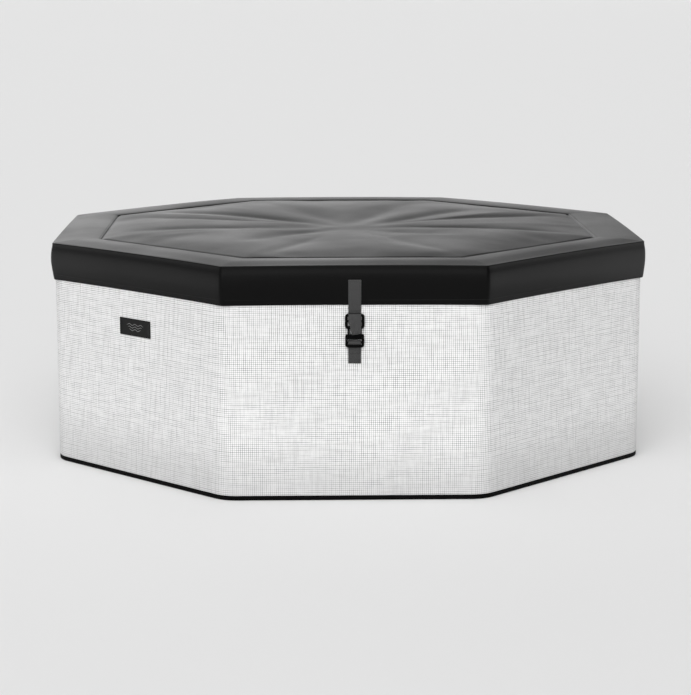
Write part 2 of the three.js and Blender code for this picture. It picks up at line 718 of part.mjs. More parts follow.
function returnNozzle() {
  const at = [NOZZLE.x, NOZZLE.z];
  const front = BASIN_FACE - 6.5;
  const body = cut(
    join(
      rod("y", NOZZLE.flange, [front, BASIN_FACE - GAP], at),
      rod("y", NOZZLE.radius, [front, NOZZLE.end - 14], at),
      rod("y", 13, [NOZZLE.end - 15, NOZZLE.end], at),
    ),
    rod("y", NOZZLE.seat, [front - 5, NOZZLE.ballY + 18], at),
    rod("y", 8, [NOZZLE.ballY, NOZZLE.end + 5], at),
  );
  const ball = cut(
    new THREE.SphereGeometry(NOZZLE.ball, 14, 9).translate(NOZZLE.x, NOZZLE.ballY, NOZZLE.z),
    rod("y", 7, [NOZZLE.ballY - 30, NOZZLE.ballY + 30], at),
  );
  return [
    named("return_nozzle", body, MATERIALS.fitting),
    named("return_eyeball", ball, MATERIALS.fitting),
  ];
}

function equipmentMeshes() {
  const pin = rod("z", HINGE.pin, [78, 342], [HINGE.x, HINGE.y]);
  const { x, y, z, edge } = CONTROL_BOX;
  const controlBox = join(
    box([x[0] + edge, x[1] - edge], y, [z[0] + edge, z[1] - edge]),
    box(x, [y[0] + 1.5 * edge, y[1] - 1.5 * edge], z),
  );
  const glandAt = [GLAND.x, GLAND.z];
  const gland = cut(
    join(
      rod("y", 14, [FACE + 1.4, FACE + 5], glandAt, 6),
      rod("y", GLAND.body, [FACE - 16, FACE + 11], glandAt),
    ),
    rod("y", GLAND.bore, [FACE - 20, FACE + 20], glandAt),
  );
  return [
    named("unit_casing", unitCasing(), MATERIALS.housing),
    named("service_hatch", hatch(), MATERIALS.housing),
    named("hatch_hinge_pin", pin, MATERIALS.steel),
    named("hatch_knob", hatchKnob(), MATERIALS.buckle),
    ...pump(),
    heater(),
    ...blower(),
    ...waterPipes(),
    named("control_box", controlBox, MATERIALS.housing),
    named("power_gland", gland, MATERIALS.buckle),
    ...filter(),
    ...returnNozzle(),
  ];
}

// ---- The control panel in the rim ---------------------------------------------------------------
function controlPanel() {
  const { half, y, halfDepth, depth, button } = PANEL;
  const wells = PANEL.buttonsX.map((x) => rod("z", button + 0.5, [RIM - 12, RIM + 5], [x, y]));
  const body = cut(
    box([-half, half], [y - halfDepth, y + halfDepth], [RIM - depth, RIM]),
    box(
      [-LENS.half - GAP, LENS.half + GAP],
      [y - LENS.halfDepth - GAP, y + LENS.halfDepth + GAP],
      [RIM - LENS.thick - 1, RIM + 5],
    ),
    ...wells,
  );
  const lens = box(
    [-LENS.half, LENS.half],
    [y - LENS.halfDepth, y + LENS.halfDepth],
    [RIM - LENS.thick - 0.7, RIM - 0.4],
  );
  const buttons = PANEL.buttonsX.map((x, i) =>
    named(`panel_button_${i + 1}`, rod("z", button, [RIM - 9, RIM - 0.2], [x, y]), MATERIALS.fitting),
  );
  return [
    named("control_panel", body, MATERIALS.housing),
    named("display_lens", lens, MATERIALS.lens),
    ...buttons,
  ];
}

// ---- The lid ------------------------------------------------------------------------------------
function lidCover() {
  const outside = stack(LID_SKIRT.map(([face, z]) => [2 * face, LID_CORNER, z]), 2);
  const inside = stack([
    [2 * (LID_SKIRT[0][0] - LID_SKIN), LID_CORNER - LID_SKIN, LID_SKIRT[0][1] - OVERRUN],
    ...LID_SKIRT.slice(0, -1).map(([face, z]) => [
      2 * (face - LID_SKIN),
      LID_CORNER - LID_SKIN,
      Math.min(z, LID_SKIRT.at(-1)[1] - LID_SKIN - 1),
    ]).slice(0, -1),
    [2 * 920, LID_CORNER - LID_SKIN, LID_SKIRT.at(-1)[1] - LID_SKIN],
  ], 2);
  return cut(outside, inside);
}

function lidMeshes() {
  const border = cut(
    stack([[2 * BORDER.outer, 18, BORDER.bottom], [2 * BORDER.outer, 18, BORDER.top]], 2),
    stack([[2 * BORDER.inner, 10, BORDER.bottom - 5], [2 * BORDER.inner, 10, BORDER.top + 5]], 2),
  );
  const panInside = 2 * (PAN.face - PAN.skin);
  const flangeTop = PAN.flangeBottom + PAN.skin;
  const sheet = cut(
    join(
      stack([[2 * PAN.face, 30, PAN.bottom], [2 * PAN.face, 30, flangeTop]], 2),
      stack([[2 * PAN.flange, 20, PAN.flangeBottom], [2 * PAN.flange, 20, flangeTop]], 2),
    ),
    stack([
      [panInside, 30 - PAN.skin, PAN.bottom + PAN.skin],
      [panInside, 30 - PAN.skin, flangeTop + OVERRUN],
    ], 2),
  );
  const { face, bottom, top, edge, skin } = BLADDER;
  const cushion = (inset) =>
    stack([
      [2 * (face - edge - inset), 30 - inset, bottom + inset],
      [2 * (face - inset), 30 - inset, bottom + edge + inset / 2],
      [2 * (face - inset), 30 - inset, top - edge - inset / 2],
      [2 * (face - edge - inset), 30 - inset, top - inset],
    ], 2);
  const valveAt = [0, -560];
  const bladder = cut(cushion(0), cushion(skin), rod("z", 13, [bottom - 5, bottom + 10], valveAt));
  const valve = join(
    rod("z", 12.4, [bottom + 0.5, bottom + 14], valveAt),
    rod("z", 20, [PAN.bottom + PAN.skin + GAP, bottom - GAP], valveAt),
    rod("z", 8, [PAN.bottom + PAN.skin + GAP, bottom + 1], valveAt),
  );
  return [
    named("lid_cover", lidCover(), MATERIALS.lidVinyl),
    named("lid_border_foam", border, MATERIALS.foam),
    named("lid_bladder", bladder, MATERIALS.pvc),
    named("lid_bladder_valve", valve, MATERIALS.fitting),
    named("lid_base_sheet", sheet, MATERIALS.foil),
  ];
}

// ---- The four straps and their side-release buckles ---------------------------------------------
// These are drawn for the front face, as distance out from it and height, and turned to each side.
const out = (from, to) => [-FACE - to, -FACE - from];

// The lid's strap: sewn to the skirt, round the plug's middle bar and folded over to hang in front.
function upperStrap() {
  return ribbon([
    [STRAP_HINGE.out, STRAP_HINGE.z],
    [11, 635],
    [9, 605],
    [1.9, 561],
    [1.8, 545],
    ...bend([6.1, 531], 4.3, 180, 360, 6),
    ...bend([11.75, 553.5], 1.35, 180, 0, 4),
    [13.1, 498],
  ]);
}

// The tub's strap: sewn to the jacket, round the socket's bar and back down behind it.
function anchorStrap() {
  return ribbon([
    [1.5, 409],
    [1.5, 462],
    [2.7, 474],
    ...bend([6.2, 473.5], 3.4, 135, 0, 4),
    ...bend([6.2, 469.5], 3.4, 0, -110, 4),
    [3.9, 462],
    [3.9, 440],
  ]);
}

// The male half: a ladder frame with a tongue and two sprung arms.
function bucklePlug() {
  const frame = roundRect([-PLUG.half, PLUG.half], [PLUG.bottom, PLUG.top], PLUG.round);
  for (const [low, high] of PLUG.slots) {
    const corners = [[-1, low], [1, low], [1, high], [-1, high]];
    frame.holes.push(new THREE.Path(corners.map(([side, z]) => new THREE.Vector2(side * PLUG.slot, z))));
  }
  const arm = new THREE.Shape(
    [[15, 514], [20.5, 514], [20.2, 492], [21.3, 490], [20.6, 486], [17.5, 484], [15.8, 486]].map(
      ([x, z]) => new THREE.Vector2(x, z),
    ),
  );
  const depth = out(PLUG.back, PLUG.front);
  const right = plate(arm, depth);
  const left = geometryOf(solidOf(right).mirror([1, 0, 0]));
  const tongue = box([-PLUG.tongue, PLUG.tongue], depth, [PLUG.tip, PLUG.bottom + 3]);
  return join(plate(frame, depth), right, left, tongue);
}

// The female half: a mouth for the arms, open towards the wall, over a webbing bar.
function buckleSocket() {
  const body = plate(
    roundRect([-SOCKET.half, SOCKET.half], [SOCKET.bottom, SOCKET.top], SOCKET.round),
    out(SOCKET.back, SOCKET.front),
  );
  const { mouth, ear, bar, slot } = SOCKET;
  const beyond = SOCKET.front + 8;
  const mouthSpan = [mouth.bottom, SOCKET.top + OVERRUN];
  const opening = box([-mouth.half, mouth.half], out(-5, mouth.front), mouthSpan);
  const window = box([-slot, slot], out(-5, beyond), SOCKET.window);
  const webbingRoom = box([-slot, slot], out(-5, 5.4), [450, SOCKET.window[0] + 1.5]);
  const ears = [-1, 1].map((side) => {
    const span = [ear.inner * side, (SOCKET.half + 4) * side].sort((a, b) => a - b);
    return box(span, out(ear.back, beyond), ear.span);
  });
  const crossbar = box([-slot - 1, slot + 1], out(bar.back, bar.front), bar.span);
  return join(cut(body, opening, window, webbingRoom, ...ears), crossbar);
}

function strapGroup(side, quarterTurns) {
  const group = new THREE.Group();
  group.rotation.z = (quarterTurns * Math.PI) / 2;
  group.add(
    named(`${side}_strap`, upperStrap(), MATERIALS.webbing),
    named(`${side}_buckle_plug`, bucklePlug(), MATERIALS.buckle),
    named(`${side}_buckle_socket`, buckleSocket(), MATERIALS.buckle),
    named(`${side}_anchor_strap`, anchorStrap(), MATERIALS.webbing),
  );
  return group;
}

// ---- The whole object ---------------------------------------------------------------------------
const hotTub = new THREE.Group();
hotTub.add(
  ...shellMeshes(),
  ...airValve(),
  ...drain(),
  ...equipmentMeshes(),
  ...controlPanel(),
  ...lidMeshes(),
  ...["front", "right", "back", "left"].map(strapGroup),
);

export default hotTub;
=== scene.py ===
"""An eight-sided inflatable hot tub with its strapped lid on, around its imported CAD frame.

Everything is in metres in the CAD's own frame: the front face looks along -Y and +Z is up.
"""

import math

import bpy
import numpy as np
from mathutils import Matrix, Vector


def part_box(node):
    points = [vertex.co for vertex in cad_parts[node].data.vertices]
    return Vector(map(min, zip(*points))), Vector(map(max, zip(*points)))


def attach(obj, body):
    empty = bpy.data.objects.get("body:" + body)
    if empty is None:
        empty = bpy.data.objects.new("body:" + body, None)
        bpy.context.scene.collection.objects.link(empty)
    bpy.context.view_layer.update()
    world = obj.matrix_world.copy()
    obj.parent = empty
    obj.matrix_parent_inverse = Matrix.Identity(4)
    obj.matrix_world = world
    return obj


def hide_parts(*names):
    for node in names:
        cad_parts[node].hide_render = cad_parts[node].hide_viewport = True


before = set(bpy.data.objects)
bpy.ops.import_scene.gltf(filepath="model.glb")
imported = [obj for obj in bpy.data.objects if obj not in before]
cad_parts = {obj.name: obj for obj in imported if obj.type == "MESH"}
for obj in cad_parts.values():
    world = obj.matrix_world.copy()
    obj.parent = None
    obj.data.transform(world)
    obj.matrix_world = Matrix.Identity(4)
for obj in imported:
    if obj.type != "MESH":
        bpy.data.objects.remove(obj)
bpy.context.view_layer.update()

# ---- Driving sizes, from the frame ----
MM = 0.001
SIDES = 8
SIDE_ANGLE = 2 * math.pi / SIDES
SIDE_NAMES = ("front", "right", "back", "left")

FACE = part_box("outer_jacket")[1].x  # from the middle to the jacket's outer face
JACKET_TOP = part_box("outer_jacket")[1].z
BASE_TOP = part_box("base_pad")[1].z + 0.8 * MM  # the mat's edge swells a little over its flat
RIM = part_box("tub_liner")[1].z
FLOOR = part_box("tub_liner")[0].z
CUSHION_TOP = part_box("floor_cushion")[1].z
BASIN_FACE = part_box("floor_cushion")[1].x + 2 * MM
LID_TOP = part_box("lid_cover")[1].z
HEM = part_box("lid_cover")[0].z
WALL_CORNER = 95 * MM  # radius of the wall's upright corners
BASIN_CORNER = 37 * MM
LID_CORNER = 18 * MM
SEAM_INSET = 147 * MM  # from the lid's edge to the seam on its top
LID_EDGE = FACE + 4.5 * MM  # the lid's edge, from the middle
LID_SEAM = LID_EDGE - SEAM_INSET

LID_PUFF = 10.5 * MM  # how far the air cushion lifts the lid between its folds
FOLD_DEPTH = 0.43  # share of each fold's lift that is left when the lid is closed
FOLD_ROUND = 0.5  # how round a fold's line is, as a share of its half-width
LID_FOCUS = (0.01, -0.01)  # where the folds meet
# The folds, as angle in degrees, where each starts and ends (as shares of the way out to the seam),
# height in millimetres (below zero for a valley) and half-width in millimetres.
LID_FOLDS = (
    (-18, 0.15, 0.97, -9, 26),
    (-8, 0.35, 0.95, 4, 50),
    (20, 0.20, 0.97, -9, 30),
    (28, 0.25, 0.90, 5, 30),
    (37, 0.10, 0.85, -8, 45),
    (52, 0.40, 0.90, 5, 80),
    (71, 0.05, 0.90, -9, 70),
    (90, 0.35, 0.80, 4, 90),
    (111, 0.05, 0.92, -9, 60),
    (131, 0.45, 0.95, 7, 55),
    (148, 0.10, 0.98, -13, 38),
    (155, 0.40, 0.92, 5, 26),
    (162, 0.20, 0.96, -10, 32),
    (178, 0.40, 0.90, 3, 80),
    (197, 0.25, 0.95, -10, 34),
    (206, 0.50, 0.95, 4, 30),
    (231, 0.05, 0.85, -9, 50),
    (251, 0.35, 0.96, -8, 26),
    (270, 0.40, 0.90, 5, 80),
    (292, 0.15, 0.97, -11, 34),
    (313, 0.05, 0.70, -7, 55),
    (327, 0.50, 0.92, 5, 60),
)

# ---- Mesh helpers ----


def centre(node):
    """The middle of a CAD node's box."""
    low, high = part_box(node)
    return (low + high) / 2


def configure(thing, **values):
    """Sets several properties at once."""
    for key, value in values.items():
        setattr(thing, key, value)
    return thing


def add_object(name, data):
    """An object in the scene for a mesh, a light or a camera."""
    obj = bpy.data.objects.new(name, data)
    bpy.context.scene.collection.objects.link(obj)
    return obj


def mesh_object(name, points, faces, uvs=None, smooth=True):
    """A mesh object at the origin. uvs is one (u, v) for each corner of each face, in order."""
    mesh = bpy.data.meshes.new(name)
    mesh.from_pydata([tuple(p) for p in points], [], [tuple(int(i) for i in f) for f in faces])
    if uvs is not None:
        layer = mesh.uv_layers.new(name="cloth")
        layer.data.foreach_set("uv", np.asarray(uvs, np.float32).ravel())
    mesh.polygons.foreach_set("use_smooth", [smooth] * len(mesh.polygons))
    mesh.update()
    return add_object(name, mesh)


def directions(angles):
    """Unit vectors in a plane, one row for each angle."""
    return np.stack([np.cos(angles), np.sin(angles)], 1)


def full_turn(steps):
    """The angles of equal steps round a circle."""
    return 2 * math.pi * np.arange(steps) / steps


def arc(middle, radius, start, end, steps):
    """Points on an arc in a plane, from one angle in degrees to another."""
    angles = np.radians(np.linspace(start, end, steps + 1))
    return [(middle[0] + radius * math.cos(a), middle[1] + radius * math.sin(a)) for a in angles]


def near(face, z, *offsets):
    """Points of a section, in millimetres outward from a face and up from a height."""
    return [(face + out * MM, z + up * MM) for out, up in offsets]


def rounded_box(x, z, corner, steps=6):
    """A box's outline between ranges of x and z, with round corners unless corner is zero."""
    outline = []
    for right, top, start in ((1, 1, 0), (0, 1, 90), (0, 0, 180), (1, 0, 270)):
        middle = (x[right] - (2 * right - 1) * corner, z[top] - (2 * top - 1) * corner)
        outline += arc(middle, corner, start, start + 90, steps) if corner else [middle]
    return outline


def distances(path):
    """How far along a path each of its points is."""
    return np.concatenate([[0], np.cumsum(np.linalg.norm(np.diff(path, axis=0), axis=1))])


def tangents(path):
    """The way that a path runs at each of its points."""
    tangent = np.gradient(path, axis=0)
    return tangent / np.linalg.norm(tangent, axis=1)[:, None]


def closed(path):
    """A path with its first point again at its end."""
    return np.concatenate([path, path[:1]])


class Octagon:
    """Columns of points round a rounded octagon: steps along each flat, and steps round each corner."""

    def __init__(self, along, around):
        flat = np.concatenate([np.linspace(-1, 1, along + 1), np.ones(around - 1)])
        turn = np.concatenate([np.zeros(along + 1), SIDE_ANGLE * np.arange(1, around) / around])
        self.flat = np.tile(flat, SIDES)
        self.turn = np.tile(turn, SIDES)
        self.side = np.repeat(0.75 * math.pi + SIDE_ANGLE * np.arange(SIDES), len(flat))

    def ring(self, face, radius):
        """The columns' (x, y), for flats this far from the middle and corners of this radius."""
        core = face - radius
        along = core * math.tan(SIDE_ANGLE / 2) * self.flat
        middles = core * directions(self.side) + along[:, None] * directions(self.side + math.pi / 2)
        return middles + radius * self.outward()

    def outward(self):
        """Each column's unit normal in plan."""
        return directions(self.side + self.turn)

    def lengths(self, face, radius):
        """The distance round the octagon to each column, and back to the first one."""
        return distances(closed(self.ring(face, radius)))


def loft(name, rings, cloth_lengths=None, cap_start=False, cap_end=False, close=False):
    """A skin over rings of points, each an array of (x, y, z) with the same count, in order."""
    rings = [np.asarray(ring, float) for ring in rings]
    count, last = len(rings[0]), len(rings) - 1
    steps = [np.linalg.norm(b - a, axis=1).mean() for a, b in zip(rings, rings[1:])]
    heights = np.cumsum([0, *steps, 0])
    across = np.arange(count + 1) / count if cloth_lengths is None else cloth_lengths
    faces, uvs = [], []
    for low in range(len(rings) if close else last):
        high = (low + 1) % len(rings)
        foot, head = heights[low], heights[low + 1]
        for i in range(count):
            j = (i + 1) % count
            faces.append((low * count + i, low * count + j, high * count + j, high * count + i))
            left, right = across[i], across[i + 1]
            uvs += [(left, foot), (right, foot), (right, head), (left, head)]
    points = list(np.concatenate(rings))
    for wanted, ring, flip in ((cap_start, 0, True), (cap_end, last, False)):
        if not wanted:
            continue
        for i in range(count):
            a, b = ring * count + i, ring * count + (i + 1) % count
            faces.append((b, a, len(points)) if flip else (a, b, len(points)))
            uvs += [(across[i], heights[ring])] * 3
        points.append(rings[ring].mean(0))
    return mesh_object(name, points, faces, uvs)


def at_height(ring, z):
    """A ring of (x, y) lifted to a height, which may differ from column to column."""
    return np.concatenate([ring, np.broadcast_to(z, len(ring))[:, None]], 1)


def skin(name, columns, section, cloth_lengths=None, **options):
    """A loft through octagons, each given as (face, corner radius, height)."""
    rings = [at_height(columns.ring(face, corner), z) for face, corner, z in section]
    return loft(name, rings, cloth_lengths, **options)


def grid_faces(first, rows, columns, close=False):
    """Faces between rows of points numbered from first, with each row joined up if close is set."""
    faces = []
    for row in range(first, first + (rows - 1) * columns, columns):
        for k in range(columns if close else columns - 1):
            a, b = row + k, row + (k + 1) % columns
            faces.append((a, b, b + columns, a + columns))
    return faces


def smooth_line(points, steps):
    """A Catmull-Rom line through points, with this many steps between each two."""
    p = np.asarray(points, float)
    p = np.concatenate([[2 * p[0] - p[1]], p, [2 * p[-1] - p[-2]]])
    line = []
    for a, b, c, d in zip(p, p[1:], p[2:], p[3:]):
        for t in np.arange(steps) / steps:
            bend = (2 * a - 5 * b + 4 * c - d) * t**2 + (3 * b - a - 3 * c + d) * t**3
            line.append(0.5 * (2 * b + (c - a) * t + bend))
    line.append(p[-2])
    return np.array(line)


def add_modifier(obj, kind, **settings):
    """A modifier of a kind, set up and put last on an object."""
    return configure(obj.modifiers.new(kind.title(), kind), **settings)


def bake(obj):
    """Turns an object's modifiers into its mesh."""
    graph = bpy.context.evaluated_depsgraph_get()
    mesh = bpy.data.meshes.new_from_object(obj.evaluated_get(graph), depsgraph=graph)
    obj.modifiers.clear()
    obj.data = mesh


def carve(obj, *cutters):
    """Cuts solids out of an object, and removes them."""
    for cutter in cutters:
        add_modifier(obj, "BOOLEAN", object=cutter, operation="DIFFERENCE", solver="EXACT")
    bake(obj)
    for cutter in cutters:
        bpy.data.objects.remove(cutter)


def cutting_box(x, y, z, corner=0.0):
    """A cutter: a box along Y between ranges, with round corners as seen from the back."""
    return prism("cutter", rounded_box(x, z, corner), y)


def cutting_rod(node, radius, span):
    """A cutter: a cylinder along Y through a node's middle."""
    return prism("cutter", np.array(centre(node).xz) + radius * directions(full_turn(40)), span)


def prism(name, outline, span):
    """An outline of (x, z), run along Y from one value to another."""
    count = len(outline)
    points = [(x, y, z) for y in span for x, z in outline]
    faces = [tuple(range(count)), tuple(reversed(range(count, 2 * count)))]
    faces += [(i, i + count, (i + 1) % count + count, (i + 1) % count) for i in range(count)]
    return mesh_object(name, points, faces, smooth=False)


def softened(outline, radius):
    """An open outline with each of its corners cut back and rounded."""
    p = [Vector(q) for q in outline]
    soft = [p[0]]
    for before, corner, after in zip(p, p[1:], p[2:]):
        reach = [min(radius, (end - corner).length * 0.45) for end in (before, after)]
        start = corner + (before - corner).normalized() * reach[0]
        end = corner + (after - corner).normalized() * reach[1]
        for t in (0, 1 / 3, 2 / 3, 1):
            soft.append(start * (1 - t) ** 2 + corner * 2 * t * (1 - t) + end * t**2)
    soft.append(p[-1])
    return soft


def turned(name, profile, axis, at, sides=48):
    """A profile of (along, radius) turned round an axis, which passes through at on the other two axes."""
    rings = []
    for along, radius in profile:
        across = np.array(at) + radius * directions(full_turn(sides))
        rings.append(np.insert(across, "xyz".index(axis), along, axis=1))
    return loft(name, rings, cap_start=profile[0][1] > 0, cap_end=profile[-1][1] > 0)


def tube(name, points, radius, cuff):
    """A pipe along a smooth line through points, swollen by a share of its radius at each end."""
    line = smooth_line(points, 10)
    reach = distances(line)
    tangent = tangents(line)
    side = Vector((0, 0, 1)).cross(Vector(tangent[0]))
    if side.length < 0.1:
        side = Vector((1, 0, 0)).cross(Vector(tangent[0]))
    rings = []
    for spot, along, distance in zip(line, tangent, reach):
        along = Vector(along)
        side = (side - along * side.dot(along)).normalized()
        to_end = min(distance, reach[-1] - distance)
        swell = 1 + cuff * (1 - np.clip((to_end - 7 * MM) / (2 * MM), 0, 1))
        across = np.array([side, along.cross(side)])
        rings.append(spot + radius * swell * directions(full_turn(24)) @ across)
    return loft(name, rings, cap_start=True, cap_end=True)


def place(obj, material, body, slot, *nodes):
    """Gives a finished piece its material and its body, in place of CAD nodes if any; slot is not used."""
    obj.data.materials.append(material)
    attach(obj, body)
    if nodes:
        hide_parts(*nodes)


# ---- Material helpers ----


class Nodes:
    """A node tree, and short ways to add nodes that feed each other."""

    def __init__(self, tree):
        self.tree = tree

    def node(self, kind, inputs=(), **settings):
        node = configure(self.tree.nodes.new(kind), **settings)
        for key, value in dict(inputs).items():
            self.feed(node.inputs[key], value)
        return node

    def feed(self, socket, value):
        if isinstance(value, bpy.types.NodeSocket):
            self.tree.links.new(value, socket)
        else:
            socket.default_value = value

    def math(self, operation, a, b=0.0, clamp=False):
        inputs = {0: a, 1: b}
        return self.node("ShaderNodeMath", inputs, operation=operation, use_clamp=clamp).outputs[0]

    def spread(self, value, low, high, to_low=0.0, to_high=1.0):
        inputs = {"Value": value, "From Min": low, "From Max": high, "To Min": to_low, "To Max": to_high}
        return self.node("ShaderNodeMapRange", inputs, interpolation_type="SMOOTHSTEP").outputs["Result"]


class Shader(Nodes):
    """A material with one Principled shader, and what feeds it."""

    def __init__(self, name, **sockets):
        self.material = bpy.data.materials.new(name)
        self.material.use_nodes = True
        super().__init__(self.material.node_tree)
        self.surface = self.tree.nodes["Principled BSDF"]
        for key, value in sockets.items():
            self.set(key.replace("_", " "), value)

    def scaled(self, source, scale):
        return self.node("ShaderNodeMapping", {"Vector": source, "Scale": scale}).outputs["Vector"]

    def place(self, scale=(1, 1, 1)):
        """Object coordinates, in metres, scaled."""
        return self.scaled(self.node("ShaderNodeTexCoord").outputs["Object"], scale)

    def cloth(self, scale=(1, 1, 1)):
        """Distance along and across the cloth, in metres, scaled."""
        return self.scaled(self.node("ShaderNodeUVMap", uv_map="cloth").outputs["UV"], scale)

    def noise(self, vector, scale, detail=3.0, roughness=0.5):
        inputs = {"Vector": vector, "Scale": scale, "Detail": detail, "Roughness": roughness}
        return self.node("ShaderNodeTexNoise", inputs).outputs["Fac"]

    def cells(self, vector, scale):
        return self.node("ShaderNodeTexVoronoi", {"Vector": vector, "Scale": scale}).outputs["Distance"]

    def axis(self, vector, index):
        return self.node("ShaderNodeSeparateXYZ", {"Vector": vector}).outputs[index]

    def blend(self, factor, a, b):
        node = self.node("ShaderNodeMix", {"Factor": factor}, data_type="RGBA")
        for socket, colour in ((node.inputs[6], a), (node.inputs[7], b)):
            self.feed(socket, (*colour, 1) if isinstance(colour, tuple) else colour)
        return node.outputs[2]

    def set(self, socket, value):
        self.feed(self.surface.inputs[socket], value)

    def colour(self, factor, a, b):
        """The surface's colour, from a to b as factor rises."""
        self.set("Base Color", self.blend(factor, a, b))

    def rough(self, cloud, low, high):
        """The surface's roughness, from low to high as a noise rises."""
        self.set("Roughness", self.spread(cloud, 0.3, 0.7, low, high))

    def bump(self, height, depth, strength=1.0):
        """Height from 0 to 1 stands for this depth in metres."""
        before = self.surface.inputs["Normal"]
        node = self.node("ShaderNodeBump", {"Height": height, "Distance": depth, "Strength": strength})
        if before.links:
            self.feed(node.inputs["Normal"], before.links[0].from_socket)
        self.feed(before, node.outputs["Normal"])


def grey(value):
    """A grey, in linear light."""
    return (value, value, value)


# ---- Materials ----

WEAVE_PITCH = 5.8 * MM  # between the dark gaps of the jacket's weave
BASE_SHADE_HEIGHT = 200 * MM  # the jacket's colour is greyed up to here, as painted shade near the floor


def woven_jacket():
    """White polyester yarns with thin dark gaps between them, some yarns thicker than others."""
    s = Shader("woven_jacket", Roughness=0.72, Sheen_Weight=0.15, Sheen_Roughness=0.4)
    cloth = s.cloth()
    u, v = s.axis(cloth, 0), s.axis(cloth, 1)
    warp_slubs = s.noise(s.cloth((140, 11, 1)), 1.0, 4.0, 0.65)
    weft_slubs = s.noise(s.cloth((11, 140, 1)), 1.0, 4.0, 0.65)
    gaps = []
    for along, slubs in ((u, warp_slubs), (v, weft_slubs)):
        phase = s.math("PINGPONG", along, WEAVE_PITCH / 2)
        line = s.spread(phase, 0.0, WEAVE_PITCH * 0.27, 1.0, 0.0)
        gaps.append(s.math("MULTIPLY", line, s.spread(slubs, 0.30, 0.70, 0.30, 1.0)))
    gap = s.math("MAXIMUM", *gaps)
    crossings = s.math("MULTIPLY", *gaps)
    dark = s.math("ADD", s.math("MULTIPLY", gap, 0.72), s.math("MULTIPLY", crossings, 0.95), clamp=True)
    tone = s.noise(s.cloth((1.5, 1.5, 1)), 2.0, 3.0)
    yarn = s.blend(tone, grey(0.91), grey(0.97))
    cloth_colour = s.blend(dark, yarn, grey(0.10))
    height = s.axis(s.place(), 2)
    # painted shade: the cloth's colour is greyed towards its foot, standing in for the floor's shadow on
    # the wall
    painted_base_shade = s.spread(height, BASE_TOP, BASE_TOP + BASE_SHADE_HEIGHT, 0.38, 0.0)
    s.colour(painted_base_shade, cloth_colour, grey(0.38))
    s.set("Roughness", s.spread(dark, 0, 1, 0.66, 0.9))
    twill = s.noise(s.cloth((900, 900, 1)), 1.0, 2.0)
    s.bump(s.math("SUBTRACT", 1.0, gap), 0.35 * MM, 0.8)
    s.bump(twill, 0.06 * MM, 0.5)
    return s.material


def black_mat():
    """The base mat's edge: black coated foam with a faint pebble."""
    s = Shader("black_mat", Roughness=0.5, IOR=1.12)
    grain = s.cells(s.place(), 900)
    scuffs = s.noise(s.place((6, 6, 60)), 4.0, 4.0)
    s.colour(s.spread(scuffs, 0.45, 0.8), grey(0.0018), grey(0.005))
    s.set("Roughness", s.spread(scuffs, 0.3, 0.8, 0.5, 0.66))
    s.bump(grain, 0.12 * MM, 0.5)
    return s.material


def lid_vinyl():
    """Black marine vinyl: fine leather grain, satin, a little cloudy."""
    s = Shader("lid_vinyl", IOR=1.2, Roughness=0.33)
    fine = s.cells(s.place(), 1100)
    coarse = s.noise(s.place(), 260, 3.0)
    blotch = s.noise(s.place(), 3.0, 4.0)
    s.colour(blotch, grey(0.0010), grey(0.0022))
    s.rough(blotch, 0.30, 0.37)
    s.bump(fine, 0.10 * MM, 0.35)
    s.bump(coarse, 0.12 * MM, 0.25)
    return s.material


def webbing():
    """Dark grey polyester webbing in a herringbone, a little fuzzy."""
    s = Shader("webbing", Roughness=0.8, Sheen_Weight=0.3, Sheen_Roughness=0.35)
    cloth = s.cloth()
    u, v = s.axis(cloth, 0), s.axis(cloth, 1)
    chevron = s.math("PINGPONG", u, 4.6 * MM)
    slant = s.math("ADD", v, chevron)
    twill = s.math("PINGPONG", slant, 0.7 * MM)
    ridge = s.spread(twill, 0, 0.7 * MM)
    warp = s.spread(s.math("PINGPONG", u, 0.45 * MM), 0, 0.45 * MM)
    height = s.math("ADD", s.math("MULTIPLY", ridge, 0.7), s.math("MULTIPLY", warp, 0.3))
    fuzz = s.noise(s.cloth(), 600, 3.0)
    shade = s.math("MULTIPLY", height, s.spread(fuzz, 0.2, 0.8, 0.75, 1.0))
    s.colour(shade, grey(0.028), grey(0.070))
    s.bump(height, 0.35 * MM, 0.8)
    return s.material


def moulded(name, colour, roughness=0.45, grain=0.05, **sockets):
    """Injection-moulded plastic with a fine spark texture and worn, paler high spots."""
    s = Shader(name, Roughness=roughness, **sockets)
    spark = s.noise(s.place(), 1400, 3.0, 0.6)
    wear = s.noise(s.place(), 60, 4.0, 0.6)
    paler = tuple(min(c * 1.35 + 0.001, 1) for c in colour)
    s.colour(s.spread(wear, 0.5, 0.75), colour, paler)
    s.rough(wear, roughness - 0.06, roughness + 0.08)
    s.bump(spark, grain * MM, 0.5)
    return s.material


def pvc(name, colour, roughness=0.35):
    """Smooth laminated PVC over a fabric scrim that shows faintly through."""
    s = Shader(name, Roughness=roughness)
    scrim = s.noise(s.place((700, 700, 700)), 1.0, 2.0)
    cloud = s.noise(s.place(), 5.0, 4.0)
    darker = tuple(c * 0.9 for c in colour)
    s.colour(cloud, darker, colour)
    s.rough(cloud, roughness - 0.05, roughness + 0.07)
    s.bump(scrim, 0.08 * MM, 0.4)
    return s.material


def thread():
    """Twisted black sewing thread."""
    s = Shader("thread", Roughness=0.65, Base_Color=(*grey(0.012), 1))
    s.bump(s.noise(s.place(), 3000, 1.0), 0.05 * MM, 0.6)
    return s.material


def metal(name, colour, roughness=0.3):
    """Brushed metal with fine scratches along it."""
    s = Shader(name, Metallic=1.0, Roughness=roughness, Base_Color=(*colour, 1))
    scratches = s.noise(s.place((900, 60, 900)), 1.0, 4.0, 0.7)
    stain = s.noise(s.place(), 25, 4.0)
    s.rough(scratches, roughness - 0.08, roughness + 0.12)
    s.colour(stain, colour, tuple(c * 0.75 for c in colour))
    s.bump(scratches, 0.02 * MM, 0.5)
    return s.material


